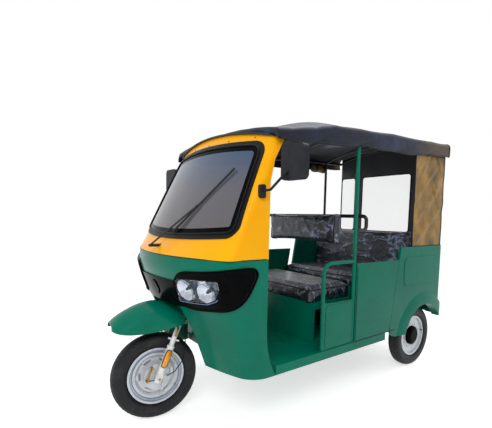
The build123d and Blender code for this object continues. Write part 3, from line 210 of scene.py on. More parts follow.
@dataclass(frozen=True)
class Enamel(Finish):
    """Sprayed gloss enamel on pressed steel sheet.

    The spray leaves a fine orange peel under a hard shine, and road dust dulls it in patches.
    """

    base: str = "#00725A"
    shade: str = "#006550"
    dust: str = "#2E7562"
    roughness: float = 0.2
    peel_mm: float = 14.0
    patch_mm: float = 420.0
    dust_share: float = 0.05
    edge_mm: float = 3.0

    def paint(self, tree: bpy.types.NodeTree) -> bpy.types.Node:
        """Two tones in wide patches, dust over them, the peel as relief and softened edges."""
        edge = add_node(tree, "ShaderNodeBevel", {"Radius": mm(self.edge_mm)}, samples=4)
        patches = grain(tree, self.patch_mm, 3.0)
        colour = ramp(tree, patches.outputs["Fac"], [(0.32, linear(self.shade)), (0.66, linear(self.base))])
        grime = grain(tree, 180.0, 3.0)
        mask = ramp(tree, grime.outputs["Fac"], [(0.5, (0.0, 0.0, 0.0, 1.0)), (0.95, (self.dust_share,) * 3 + (1.0,))])
        dusty = add_node(
            tree, "ShaderNodeMix", {0: mask.outputs["Color"], 6: colour.outputs["Color"], 7: linear(self.dust)},
            data_type="RGBA",
        )
        gloss = add_node(
            tree, "ShaderNodeMapRange",
            {0: grime.outputs["Fac"], 1: 0.3, 2: 0.9, 3: self.roughness, 4: self.roughness + 0.14},
        )
        return add_node(
            tree, "ShaderNodeBsdfPrincipled",
            {
                "Base Color": dusty.outputs[2], "Roughness": gloss.outputs[0], "Coat Weight": 0.06,
                "Coat Roughness": 0.05, "Specular IOR Level": 0.1,
                "Normal": bump_of(tree, grain(tree, self.peel_mm, 1.0).outputs["Fac"], 0.1, 0.08, edge.outputs[0]),
            },
        )


@dataclass(frozen=True)
class Moulded(Finish):
    """Injection-moulded plastic or rubber: an even colour with the mould's fine grain in it."""

    base: str = "#101114"
    worn: str = "#1B1D21"
    roughness: float = 0.35
    grain_mm: float = 2.2
    depth_mm: float = 0.25
    coat: float = 0.0
    mirror: float = 0.25

    def paint(self, tree: bpy.types.NodeTree) -> bpy.types.Node:
        """Even colour, lighter where hands and dust have worn it, over a fine grain."""
        wear = grain(tree, 90.0, 5.0)
        colour = ramp(tree, wear.outputs["Fac"], [(0.4, linear(self.base)), (0.75, linear(self.worn))])
        gloss = add_node(
            tree, "ShaderNodeMapRange",
            {0: wear.outputs["Fac"], 1: 0.3, 2: 0.8, 3: self.roughness - 0.05, 4: self.roughness + 0.12},
        )
        relief = bump_of(tree, grain(tree, self.grain_mm, 1.0).outputs["Fac"], self.depth_mm, 0.5)
        return add_node(
            tree, "ShaderNodeBsdfPrincipled",
            {
                "Base Color": colour.outputs["Color"], "Roughness": gloss.outputs[0], "Normal": relief,
                "Coat Weight": self.coat, "Coat Roughness": 0.08, "Specular IOR Level": self.mirror,
            },
        )


@dataclass(frozen=True)
class Metal(Finish):
    """Bare, plated or silver-painted metal: how cast, turned or drawn shows in grain and shine."""

    base: str = "#C9CBD0"
    dirt: str = "#7C7A74"
    roughness: float = 0.3
    metallic: float = 1.0
    grain_mm: float = 1.6
    depth_mm: float = 0.15
    dirt_from: float = 0.55

    def paint(self, tree: bpy.types.NodeTree) -> bpy.types.Node:
        """Metal with grime in blotches and the grain of its casting."""
        blot = grain(tree, 45.0, 6.0)
        colour = ramp(tree, blot.outputs["Fac"], [(self.dirt_from, linear(self.base)), (0.9, linear(self.dirt))])
        gloss = add_node(
            tree, "ShaderNodeMapRange",
            {0: blot.outputs["Fac"], 1: 0.35, 2: 0.8, 3: self.roughness, 4: self.roughness + 0.25},
        )
        relief = bump_of(tree, grain(tree, self.grain_mm, 1.0).outputs["Fac"], self.depth_mm, 0.5)
        return add_node(
            tree, "ShaderNodeBsdfPrincipled",
            {
                "Base Color": colour.outputs["Color"], "Metallic": self.metallic,
                "Roughness": gloss.outputs[0], "Normal": relief,
            },
        )


@dataclass(frozen=True)
class CoatedCanvas(Finish):
    """Polyester canvas coated with PVC: a woven relief under a waxy skin; the shine on its creases is a painted
    highlight, the lightest streaks of its colour.
    """

    base: str = "#23262F"
    # Colour of the lightest streaks: a painted highlight for the shine of the coating.
    painted_highlight: str = "#39404F"
    low: str = "#1B1C20"
    thread_mm: float = 2.4
    roughness: float = 0.42
    sheen: float = 0.05
    # Rear tone: painted warm light that browns the canopy toward its rear, blended in between the two Y places below.
    rear: str | None = None
    warm_light_from: float = 0.72
    warm_light_to: float = 1.02
    inside: str | None = None
    inside_look: Point = (-0.7, -0.7, 0.0)

    def toned(self, tree: bpy.types.NodeTree, colour: bpy.types.NodeSocket) -> bpy.types.NodeSocket:
        """Shift the colour along the vehicle to the rear tone, which is painted warm light on the rear of the canopy,
        and give the back faces their lining colour.
        """
        if self.rear:
            split = add_node(tree, "ShaderNodeSeparateXYZ", {"Vector": object_coords(tree)})
            drift = add_node(
                tree, "ShaderNodeMath", {0: grain(tree, 90.0, 4.0).outputs["Fac"], 1: 0.3, 2: -0.15},
                operation="MULTIPLY_ADD",
            )
            place = add_node(tree, "ShaderNodeMath", {0: split.outputs["Y"], 1: drift.outputs[0]}, operation="ADD")
            share = add_node(
                tree, "ShaderNodeMapRange",
                {0: place.outputs[0], 1: self.warm_light_from, 2: self.warm_light_to, 3: 0.0, 4: 1.0},
            )
            # Blend in the rear tone, the painted warm light.
            colour = add_node(
                tree, "ShaderNodeMix", {0: share.outputs[0], 6: colour, 7: linear(self.rear)}, data_type="RGBA"
            ).outputs[2]
        if self.inside:
            look = add_node(
                tree, "ShaderNodeVectorMath",
                {0: add_node(tree, "ShaderNodeNewGeometry").outputs["True Normal"], 1: self.inside_look},
                operation="DOT_PRODUCT",
            )
            back = add_node(tree, "ShaderNodeMath", {0: look.outputs["Value"], 1: 0.2}, operation="GREATER_THAN")
            colour = add_node(
                tree, "ShaderNodeMix", {0: back.outputs[0], 6: colour, 7: linear(self.inside)}, data_type="RGBA"
            ).outputs[2]
        return colour

    def paint(self, tree: bpy.types.NodeTree) -> bpy.types.Node:
        """Colour in soft streaks, the lightest of them a painted highlight, and a plain weave drawn three times
        coarser than the real thread.
        """
        streaks = grain(tree, 140.0, 5.0, (1.0, 0.7, 0.6))
        # Darker streaks, the base colour, then the lightest streaks as a painted highlight.
        colour = ramp(
            tree, streaks.outputs["Fac"],
            [(0.3, linear(self.low)), (0.52, linear(self.base)), (0.78, linear(self.painted_highlight))],
        )
        weave = add_node(
            tree, "ShaderNodeTexChecker", {"Vector": object_coords(tree), "Scale": 1.0 / mm(self.thread_mm)}
        )
        wrinkle = grain(tree, 55.0, 4.0, (1.0, 0.6, 1.0))
        relief = bump_of(tree, weave.outputs["Fac"], 0.25, 0.25)
        relief = bump_of(tree, wrinkle.outputs["Fac"], 4.0, 0.6, relief)
        return add_node(
            tree, "ShaderNodeBsdfPrincipled",
            {
                "Base Color": self.toned(tree, colour.outputs["Color"]), "Roughness": self.roughness,
                "Normal": relief, "Sheen Weight": self.sheen, "Sheen Roughness": 0.5, "Specular IOR Level": 0.14,
            },
        )


@dataclass(frozen=True)
class Vinyl(Finish):
    """Calendered black seat vinyl: leather grain with a soft shine."""

    base: str = "#0D101A"
    worn: str = "#171D2E"
    pebble_mm: float = 5.0

    def paint(self, tree: bpy.types.NodeTree) -> bpy.types.Node:
        """Voronoi pebbles for the grain and slow folds in the skin."""
        slow = grain(tree, 110.0, 4.0)
        colour = ramp(tree, slow.outputs["Fac"], [(0.4, linear(self.base)), (0.75, linear(self.worn))])
        pebbles = add_node(
            tree, "ShaderNodeTexVoronoi",
            {"Vector": object_coords(tree), "Scale": 1.0 / mm(self.pebble_mm)}, feature="DISTANCE_TO_EDGE",
        )
        relief = bump_of(tree, pebbles.outputs["Distance"], 0.5, 0.5)
        relief = bump_of(tree, slow.outputs["Fac"], 8.0, 0.5, relief)
        return add_node(
            tree, "ShaderNodeBsdfPrincipled",
            {"Base Color": colour.outputs["Color"], "Roughness": 0.38, "Normal": relief},
        )


@dataclass(frozen=True)
class WrappedVinyl(Vinyl):
    """Black seat vinyl still under its clear polythene wrap: the pale glints along the crinkles are a painted
    highlight, a pale colour mixed in.
    """

    # tint is the pale colour of the painted glints, and share their strongest mix, on the wrap's crinkles.
    tint: str = "#B4C2E4"
    crinkle_mm: float = 90.0
    share: float = 0.85
    stretch: Point = (0.55, 1.7, 1.2)

    def paint(self, tree: bpy.types.NodeTree) -> bpy.types.Node:
        """Vinyl below, and a pale glossy surface mixed in where the crinkles stand, a painted highlight."""
        vinyl = super().paint(tree)
        warp = grain(tree, 120.0, 2.0)
        place = add_node(tree, "ShaderNodeMapping", {"Vector": object_coords(tree), "Scale": self.stretch})
        bent = add_node(
            tree, "ShaderNodeVectorMath", {0: warp.outputs["Color"], 3: 0.12}, operation="SCALE"
        )
        moved = add_node(
            tree, "ShaderNodeVectorMath", {0: place.outputs[0], 1: bent.outputs[0]}, operation="ADD"
        )
        ridges = add_node(
            tree, "ShaderNodeTexNoise",
            {
                "Vector": moved.outputs[0], "Scale": 1.0 / mm(self.crinkle_mm), "Detail": 3.0, "Roughness": 0.5,
                "Offset": 1.0, "Gain": 1.4,
            },
            noise_type="RIDGED_MULTIFRACTAL",
        )
        level = add_node(tree, "ShaderNodeMapRange", {0: ridges.outputs["Fac"], 1: 0.6, 2: 1.9, 3: 0.0, 4: 1.0})
        # Mask of the painted highlight: how much of the pale colour each crinkle shows.
        seen = ramp(
            tree, level.outputs[0],
            [(0.3, (0.01,) * 3 + (1.0,)), (0.6, (0.06,) * 3 + (1.0,)), (0.8, (0.4,) * 3 + (1.0,)), (0.98, (self.share,) * 3 + (1.0,))],
        )
        # The painted glint: a pale blue-white surface that shows under any light.
        painted_glint = add_node(
            tree, "ShaderNodeBsdfPrincipled",
            {
                "Base Color": linear(self.tint), "Roughness": 0.16,
                "Normal": bump_of(tree, ridges.outputs["Fac"], 9.0, 0.9), "Specular IOR Level": 0.8,
            },
        )
        vinyl.inputs["Coat Weight"].default_value = 0.5
        vinyl.inputs["Coat Roughness"].default_value = 0.12
        tree.links.new(bump_of(tree, ridges.outputs["Fac"], 9.0, 0.9), vinyl.inputs["Coat Normal"])
        return add_node(
            tree, "ShaderNodeMixShader", {0: seen.outputs["Color"], 1: vinyl.outputs[0], 2: painted_glint.outputs[0]}
        )


@dataclass(frozen=True)
class TintedGlass(Finish):
    """Laminated float glass with a smoke tint, and a painted blue sky reflection rising to its top edge."""

    foot: str = "#585355"
    middle: str = "#53525A"
    # Top colour: a painted reflection of blue sky.
    sky_reflection: str = "#274466"
    foot_height: float = 1.15
    head_height: float = 1.58
    opacity: float = 0.9

    def paint(self, tree: bpy.types.NodeTree) -> bpy.types.Node:
        """Tint by height on the glass, with a painted blue sky reflection at the top; polished on both faces."""
        height = add_node(tree, "ShaderNodeSeparateXYZ", {"Vector": object_coords(tree)})
        share = add_node(
            tree, "ShaderNodeMapRange",
            {0: height.outputs["Z"], 1: self.foot_height, 2: self.head_height, 3: 0.0, 4: 1.0},
        )
        # Grey tint low down, blending into the painted blue sky reflection at the top.
        tint = ramp(
            tree, share.outputs[0],
            [(0.0, linear(self.foot)), (0.5, linear(self.middle)), (1.0, linear(self.sky_reflection))],
        )
        return add_node(
            tree, "ShaderNodeBsdfPrincipled",
            {"Base Color": tint.outputs["Color"], "Roughness": 0.05, "Alpha": self.opacity, "IOR": 1.52},
        )


@dataclass(frozen=True)
class ClearPlastic(Finish):
    """Polished clear plastic, such as a polycarbonate lens or a PVC window light."""

    tint: str = "#DDE6F2"
    opacity: float = 0.07
    roughness: float = 0.05
    ripple_mm: float = 60.0
    ripple_depth_mm: float = 0.0

    def paint(self, tree: bpy.types.NodeTree) -> bpy.types.Node:
        """Nearly clear, with the slow ripple of a moulded or hanging sheet."""
        relief = bump_of(tree, grain(tree, self.ripple_mm, 2.0).outputs["Fac"], self.ripple_depth_mm + 0.01, 0.6)
        return add_node(
            tree, "ShaderNodeBsdfPrincipled",
            {
                "Base Color": linear(self.tint), "Roughness": self.roughness, "Alpha": self.opacity,
                "Coat Weight": 0.3, "Coat Roughness": 0.03, "Normal": relief, "IOR": 1.45,
            },
        )


@dataclass(frozen=True)
class TyreRubber(Finish):
    """Vulcanised tyre rubber: carbon black, dusty in the grooves, dull with a slight bloom."""

    base: str = "#101215"
    dust: str = "#3A3935"

    def paint(self, tree: bpy.types.NodeTree) -> bpy.types.Node:
        """Black rubber with dust in blotches and a fine mould grain."""
        blot = grain(tree, 70.0, 6.0)
        colour = ramp(tree, blot.outputs["Fac"], [(0.5, linear(self.base)), (0.95, linear(self.dust))])
        relief = bump_of(tree, grain(tree, 1.8, 1.0).outputs["Fac"], 0.25, 0.5)
        return add_node(
            tree, "ShaderNodeBsdfPrincipled",
            {"Base Color": colour.outputs["Color"], "Roughness": 0.55, "Normal": relief, "Specular IOR Level": 0.3},
        )


class Paint(Enum):
    """Every finish on the vehicle."""

    GREEN = Enamel("green_enamel_sprayed")
    YELLOW = Enamel("yellow_enamel_sprayed", base="#FAAE04", shade="#F4A402", dust="#E0A02A", dust_share=0.04)
    GLOSS_BLACK = Moulded("black_abs_moulded", base="#030304", worn="#07080A", roughness=0.14, grain_mm=6.0, depth_mm=0.03, coat=0.02, mirror=0.02)
    GREY_PLASTIC = Moulded("grey_polypropylene_grained", base="#1C1D21", worn="#292A2F", roughness=0.4, mirror=0.15)
    SEAL = Moulded("black_rubber_extruded", base="#08090B", worn="#121317", roughness=0.42, mirror=0.15)
    CHROME = Metal("reflector_aluminium_plated", base="#BFC4CE", dirt="#7E8796", roughness=0.08, depth_mm=0.05, dirt_from=0.45)
    ALLOY = Metal("wheel_aluminium_cast", base="#B9BBC0", dirt="#75736E", roughness=0.34)
    SILVER = Metal("silver_paint_sprayed", base="#C9CBCE", dirt="#8C8A84", roughness=0.36, metallic=0.3)
    WHITE = Metal("silver_paint_pale", base="#E6E6E4", dirt="#A9A69E", roughness=0.34, metallic=0.1)
    ZINC = Metal("zinc_plated_steel", base="#B8B6AC", dirt="#6E6455", roughness=0.35)
    # Blue plated metal; on the lamp surrounds its blue line is a painted highlight.
    BLUE_TRIM_AND_HIGHLIGHT = Metal("blue_trim_and_painted_highlight", base="#7C8FB4", dirt="#59688A", roughness=0.25, metallic=0.7)
    BRASS = Metal("zinc_yellow_passivated", base="#B08A3C", dirt="#6A3A1E", roughness=0.42, dirt_from=0.45)
    BLACK_STEEL = Metal("black_steel_painted", base="#0E0F11", dirt="#2A2724", roughness=0.42, metallic=0.0)
    # In the canvas finishes, the second colour, for the lightest streaks, is a painted highlight; the roof canvas's
    # rear tone is painted warm light.
    CANVAS = CoatedCanvas("roof_canvas_coated", base="#1C2334", painted_highlight="#2C3A58", low="#171A22", rear="#4A3C2E", roughness=0.36)
    LINING = CoatedCanvas("roof_lining_woven", base="#48484C", painted_highlight="#56565A", low="#3C3C40", roughness=0.8)
    SIDE_CANVAS = CoatedCanvas(
        "curtain_canvas_coated", base="#8A6A35", painted_highlight="#C0944A", low="#4A3820", roughness=0.34, inside="#4A4A4C",
    )
    BINDING = CoatedCanvas("curtain_binding_tape", base="#15161A", painted_highlight="#22242B", low="#0E0F12")
    VINYL = Vinyl("seat_vinyl_calendered")
    WRAPPED = WrappedVinyl("seat_vinyl_wrapped_painted_glints")
    SCREEN = TintedGlass("windscreen_glass_laminated")
    LENS = ClearPlastic("lamp_lens_polycarbonate")
    LIGHT = ClearPlastic("curtain_light_pvc", tint="#EEF3F8", opacity=0.2, ripple_depth_mm=2.0)
    TYRE = TyreRubber("tyre_rubber_vulcanised")
    AMBER = Moulded("amber_reflector_acrylic", base="#F79A00", worn="#FFB01E", roughness=0.2, grain_mm=4.0, coat=0.8)
    RED = Moulded("red_lens_acrylic", base="#9E0D10", worn="#B91A1A", roughness=0.15, grain_mm=5.0, coat=0.8)
    MIRROR = Metal("mirror_glass_silvered", base="#DDE2E8", dirt="#C8CDD4", roughness=0.03, depth_mm=0.01)


class Workshop:
    """Builds each material once and puts finished pieces into the scene."""

    def __init__(self, frame: dict[str, Any]) -> None:
        """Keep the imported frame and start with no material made."""
        self.frame = frame
        self.made: dict[Paint, bpy.types.Material] = {}

    def material(self, paint: Paint) -> bpy.types.Material:
        """The material of a finish, made on first use."""
        if paint not in self.made:
            self.made[paint] = paint.value.build()
        return self.made[paint]

    def dress(self, paint: Paint, *nodes: str, bevel_mm: float = 0.0) -> None:
        """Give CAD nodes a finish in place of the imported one, and round their hard edges.

        Args:
            paint: the finish.
            nodes: the nodes' names.
            bevel_mm: how far the edges are rounded, in millimetres.
        """
        for name in nodes:
            node = self.frame["nodes"][name]
            node.data.materials.clear()
            node.data.materials.append(self.material(paint))
            if bevel_mm:
                bevel = node.modifiers.new("rounded_edges", "BEVEL")
                bevel.width = mm(bevel_mm)
                bevel.segments = 2
                bevel.limit_method = "ANGLE"
                bevel.angle_limit = math.radians(35.0)
                bevel.harden_normals = True

    def add(
        self, name: str, mesh: bpy.types.Mesh, paint: Paint, body: str = "body", smooth: bool = True,
    ) -> bpy.types.Object:
        """Put a mesh or curve into the scene as a piece that rides on a body.

        Args:
            name: the piece's name.
            mesh: its mesh.
            paint: its finish, which also fills the mesh's material slot.
            body: the body that carries it.
            smooth: whether its faces are shaded smooth.

        Returns:
            The new object.
        """
        piece = bpy.data.objects.new(name, mesh)
        bpy.context.scene.collection.objects.link(piece)
        mesh.materials.append(self.material(paint))
        mesh.polygons.foreach_set("use_smooth", [smooth] * len(mesh.polygons))
        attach(piece, body)
        LOG.info("%s on %s", name, body)
        return piece


def background_rays(tree: bpy.types.NodeTree) -> bpy.types.NodeSocket:
    """One for the rays that show the background: to the camera, off gloss and through glass."""
    rays = add_node(tree, "ShaderNodeLightPath").outputs
    gloss = add_node(
        tree, "ShaderNodeMath", {0: rays["Is Camera Ray"], 1: rays["Is Glossy Ray"]}, operation="MAXIMUM"
    )
    return add_node(
        tree, "ShaderNodeMath", {0: gloss.outputs[0], 1: rays["Is Transmission Ray"]}, operation="MAXIMUM"
    ).outputs[0]


def box_lights() -> None:
    """Soft studio lights: a broad key from the front left, a fill and one from above."""
    table = (
        ("key", (3.2, -3.6, 3.4), 2.6, 95.0),
        ("fill", (-3.6, -2.8, 2.2), 3.2, 34.0),
        ("top", (0.0, 0.4, 4.4), 3.6, 60.0),
        ("back", (1.6, 4.2, 2.6), 2.4, 40.0),
        ("strip", (3.4, -3.0, 3.6), 0.9, 16.0),
    )
    for name, place, size, power in table:
        data = bpy.data.lights.new(name, "AREA")
        data.size = size
        data.energy = power
        light = bpy.data.objects.new(name, data)
        light.visible_glossy = name in ("strip", "top")
        light.location = place
        light.rotation_mode = "QUATERNION"
        light.rotation_quaternion = (Vector((0.0, 0.0, 0.8)) - Vector(place)).to_track_quat("-Z", "Y")
        bpy.context.scene.collection.objects.link(light)


@dataclass
class Studio:
    """Pale floor, white surround, lights and the camera at the photograph's angle."""

    camera_place: Point = (2.1079, -1.8673, 1.2044)
    yaw_deg: float = 50.5263
    pitch_deg: float = -4.4353
    roll_deg: float = 1.4081
    focal_px: float = 367.13
    centre_px: tuple[float, float] = (274.36, 247.45)
    floor_half: float = 30.0

    def build(self) -> None:
        """Make the whole set."""
        self.make_camera()
        self.make_floor()
        self.make_world()
        box_lights()
        bpy.context.scene.view_settings.view_transform = "Standard"

    def make_camera(self) -> None:
        """Put the camera where the photograph was taken from."""
        yaw, pitch, roll = map(math.radians, (self.yaw_deg, self.pitch_deg, self.roll_deg))
        ahead = Vector(
            (-math.sin(yaw) * math.cos(pitch), math.cos(yaw) * math.cos(pitch), math.sin(pitch))
        )
        level = ahead.cross(Vector((0.0, 0.0, 1.0))).normalized()
        upright = level.cross(ahead)
        right = level * math.cos(roll) + upright * math.sin(roll)
        above = upright * math.cos(roll) - level * math.sin(roll)
        data = bpy.data.cameras.new("photo_camera")
        data.sensor_width = 36.0
        data.lens = self.focal_px / PHOTO_WIDTH * data.sensor_width
        data.shift_x = (PHOTO_WIDTH / 2 - self.centre_px[0]) / PHOTO_WIDTH
        data.shift_y = (self.centre_px[1] - PHOTO_HEIGHT / 2) / PHOTO_WIDTH
        camera = bpy.data.objects.new("photo_camera", data)
        turn = Matrix((right, above, -ahead)).transposed().to_4x4()
        camera.matrix_world = Matrix.Translation(self.camera_place) @ turn
        bpy.context.scene.collection.objects.link(camera)
        bpy.context.scene.camera = camera

    def make_floor(self) -> None:
        """Wide floor that reads white to the camera and still takes the shadow."""
        mesh = bpy.data.meshes.new("studio_floor")
        half = self.floor_half
        corners = [(-half, -half, 0.0), (half, -half, 0.0), (half, half, 0.0), (-half, half, 0.0)]
        mesh.from_pydata(corners, [], [(0, 1, 2, 3)])
        floor = bpy.data.objects.new("studio_floor", mesh)
        bpy.context.scene.collection.objects.link(floor)
        material, tree = new_material("studio_floor_paper")
        paper = add_node(
            tree, "ShaderNodeBsdfDiffuse", {"Color": linear("#E9E9E7")}
        )
        glow = add_node(
            tree, "ShaderNodeEmission", {"Color": (1.0, 1.0, 1.0, 1.0), "Strength": 0.6}
        )
        lifted = add_node(tree, "ShaderNodeAddShader", {0: paper.outputs[0], 1: glow.outputs[0]})
        seen = add_node(
            tree, "ShaderNodeMixShader", {0: background_rays(tree), 1: paper.outputs[0], 2: lifted.outputs[0]}
        )
        close_material(tree, seen)
        mesh.materials.append(material)

    def make_world(self) -> None:
        """White surround for the camera and for gloss, dimmer as a lamp on the object."""
        world = bpy.data.worlds.new("studio_surround")
        world.use_nodes = True
        tree = world.node_tree
        tree.nodes.clear()
        seen = background_rays(tree)
        lamp = add_node(tree, "ShaderNodeBackground", {"Color": (0.9, 0.95, 1.0, 1.0), "Strength": 0.6})
        white = add_node(tree, "ShaderNodeBackground", {"Color": (1.0, 1.0, 1.0, 1.0), "Strength": 1.0})
        both = add_node(
            tree, "ShaderNodeMixShader", {0: seen, 1: lamp.outputs[0], 2: white.outputs[0]}
        )
        add_node(tree, "ShaderNodeOutputWorld", {"Surface": both.outputs[0]})
        bpy.context.scene.world = world


def mesh_of(name: str, points: Iterable[Sequence[float]], faces: Iterable[Sequence[int]]) -> bpy.types.Mesh:
    """Mesh from points and faces, with faces turned outwards and doubles joined."""
    mesh = bpy.data.meshes.new(name)
    mesh.from_pydata([tuple(point) for point in points], [], [tuple(face) for face in faces])
    shape = bmesh.new()
    shape.from_mesh(mesh)
    bmesh.ops.remove_doubles(shape, verts=shape.verts, dist=mm(0.02))
    bmesh.ops.recalc_face_normals(shape, faces=shape.faces)
    shape.to_mesh(mesh)
    shape.free()
    return mesh


def tube(name: str, path: Sequence[Sequence[float]], radius: float, sides: int = 12, closed: bool = False) -> bpy.types.Mesh:
    """Round bar along a path.

    Args:
        name: the mesh's name.
        path: its points.
        radius: the bar's radius.
        sides: corners around the bar.
        closed: whether the path runs round to its start.

    Returns:
        The mesh.
    """
    places = [Vector(point) for point in path]
    count = len(places)
    points: list[Vector] = []
    across = None
    for index, place in enumerate(places):
        before = places[index - 1] if closed or index else place
        after = places[(index + 1) % count] if closed or index < count - 1 else place
        ahead = (after - before).normalized()
        across = ahead.orthogonal() if across is None else across - ahead * across.dot(ahead)
        across.normalize()
        beside = ahead.cross(across)
        for turn in (math.tau * side / sides for side in range(sides)):
            points.append(place + (across * math.cos(turn) + beside * math.sin(turn)) * radius)
    faces = [
        (row * sides + side, row * sides + (side + 1) % sides,
         (row + 1) % count * sides + (side + 1) % sides, (row + 1) % count * sides + side)
        for row in range(count if closed else count - 1) for side in range(sides)
    ]
    if not closed:
        faces.append(tuple(range(sides)))
        faces.append(tuple(range((count - 1) * sides, count * sides)))
    return mesh_of(name, points, faces)


def lathe(
    name: str, profile: Sequence[tuple[float, float]], centre: Sequence[float], axis: Sequence[float],
    segments: int = 64, relief: Callable[[float, int], float] | None = None,
) -> bpy.types.Mesh:
    """Turned part around an axis.

    Args:
        name: the mesh's name.
        profile: rows of (radius, place along the axis).
        centre: the point on the axis that places are measured from.
        axis: the axis.
        segments: steps around it.
        relief: radius to take off at (share of a turn, row).

    Returns:
        The mesh.
    """
    along = Vector(axis).normalized()
    across = along.orthogonal().normalized()
    beside = along.cross(across)
    points: list[Vector] = []
    for row, (radius, place) in enumerate(profile):
        for step in range(segments):
            share = step / segments
            reach = radius - (relief(share, row) if relief else 0.0)
            turn = math.tau * share
            points.append(
                Vector(centre) + along * place + (across * math.cos(turn) + beside * math.sin(turn)) * reach
            )
    faces = [
        (row * segments + step, row * segments + (step + 1) % segments,
         (row + 1) * segments + (step + 1) % segments, (row + 1) * segments + step)
        for row in range(len(profile) - 1) for step in range(segments)
    ]
    return mesh_of(name, points, faces)


def grid_mesh(name: str, rows: Sequence[Sequence[Vector]], keep: Callable[[int, int], bool] | None = None) -> bpy.types.Mesh:
    """Skin over rows of points, leaving out the cells that keep() turns down."""
    width = len(rows[0])
    faces = [
        (row * width + col, row * width + col + 1, (row + 1) * width + col + 1, (row + 1) * width + col)
        for row in range(len(rows) - 1) for col in range(width - 1)
        if keep is None or keep(row, col)
    ]
    return mesh_of(name, [point for row in rows for point in row], faces)


def joined(name: str, parts: Sequence[bpy.types.Mesh]) -> bpy.types.Mesh:
    """One mesh out of several."""
    shape = bmesh.new()
    for part in parts:
        shape.from_mesh(part)
        bpy.data.meshes.remove(part)
    mesh = bpy.data.meshes.new(name)
    shape.to_mesh(mesh)
    shape.free()
    return mesh


def box_mesh(name: str, low: Sequence[float], high: Sequence[float], rounding_mm: float = 0.0) -> bpy.types.Mesh:
    """Block between two corners with rounded edges."""
    shape = bmesh.new()
    middle = (Vector(low) + Vector(high)) / 2
    size = Vector(high) - Vector(low)
    bmesh.ops.create_cube(shape, size=1.0, matrix=Matrix.Translation(middle) @ Matrix.Diagonal((*size, 1.0)))
    if rounding_mm:
        bmesh.ops.bevel(
            shape, geom=shape.edges[:], offset=mm(rounding_mm), segments=3, affect="EDGES", profile=0.5
        )
    mesh = bpy.data.meshes.new(name)
    shape.to_mesh(mesh)
    shape.free()
    return mesh


def bolt_heads(name: str, places: Sequence[tuple[Sequence[float], Sequence[float]]], radius_mm: float = 6.0) -> bpy.types.Mesh:
    """Domed bolt heads on washers, each at a place and along a direction."""
    across = mm(radius_mm)
    profile = [
        (0.0, across * 0.75), (across * 0.5, across * 0.66), (across * 0.78, across * 0.38),
        (across * 0.8, across * 0.12), (across * 1.25, across * 0.1), (across * 1.25, -across * 0.3),
    ]
    return joined(name, [lathe(name, profile, place, facing, 12) for place, facing in places])


def front_loop(node: bpy.types.Object, facing: Vector, least: float = 0.35) -> list[tuple[Vector, Vector]]:
    """Outline of the faces of a node that look one way.

    Args:
        node: a CAD node.
        facing: the direction they look in.
        least: how closely, as the cosine of the angle.

    Returns:
        The longest outline as (point, normal) in order.
    """
    shape = bmesh.new()
    shape.from_mesh(node.data)
    shape.transform(node.matrix_world)
    bmesh.ops.remove_doubles(shape, verts=shape.verts, dist=mm(0.05))
    shape.normal_update()
    chosen = {face for face in shape.faces if face.normal.dot(facing) > least}
    rims: dict[bmesh.types.BMVert, list[bmesh.types.BMVert]] = {}
    normals: dict[bmesh.types.BMVert, Vector] = {}
    for edge in shape.edges:
        sides = [face for face in edge.link_faces if face in chosen]
        if len(sides) == 1:
            for here, there in (tuple(edge.verts), tuple(edge.verts)[::-1]):
                rims.setdefault(here, []).append(there)
                normals[here] = normals.get(here, Vector()) + sides[0].normal
    loops: list[list[tuple[Vector, Vector]]] = []
    left = set(rims)
    while left:
        here = left.pop()
        loop = [here]
        while True:
            ahead = [vert for vert in rims[here] if vert in left]
            if not ahead:
                break
            here = ahead[0]
            left.discard(here)
            loop.append(here)
        loops.append([(vert.co.copy(), normals[vert].normalized()) for vert in loop])
    shape.free()
    return max(loops, key=lambda loop: sum((loop[i][0] - loop[i - 1][0]).length for i in range(len(loop))))


def even_loop(loop: Sequence[tuple[Vector, Vector]], step: float) -> list[tuple[Vector, Vector]]:
    """The same closed outline with points an even step apart."""
    total = sum((loop[i][0] - loop[i - 1][0]).length for i in range(len(loop)))
    count = max(int(total / step), 8)
    result: list[tuple[Vector, Vector]] = []
    walked, target = 0.0, 0.0
    for index in range(len(loop)):
        (start, start_normal), (end, end_normal) = loop[index - 1], loop[index]
        length = (end - start).length
        while length > 0.0 and target <= walked + length and len(result) < count:
            share = (target - walked) / length
            result.append((start.lerp(end, share), start_normal.lerp(end_normal, share).normalized()))
            target += total / count
        walked += length
    return result


def rim_band(name: str, loop: Sequence[tuple[Vector, Vector]], width: float, lift: float) -> bpy.types.Mesh:
    """Flat band that runs inside an outline, lifted off the surface.

    Args:
        name: the mesh's name.
        loop: the outline.
        width: how far the band reaches inwards.
        lift: how far it stands off the surface.

    Returns:
        The mesh.
    """
    count = len(loop)
    middle = sum((point for point, _ in loop), Vector()) / count
    rows: list[list[Vector]] = [[], []]
    for index, (point, normal) in enumerate(loop):
        ahead = (loop[(index + 1) % count][0] - loop[index - 1][0]).normalized()
        inwards = ahead.cross(normal).normalized()
        if inwards.dot(middle - point) < 0.0:
            inwards.negate()
        rows[0].append(point + normal * lift)
        rows[1].append(point + inwards * width + normal * lift)
    for row in rows:
        row.append(row[0])
    return grid_mesh(name, rows)


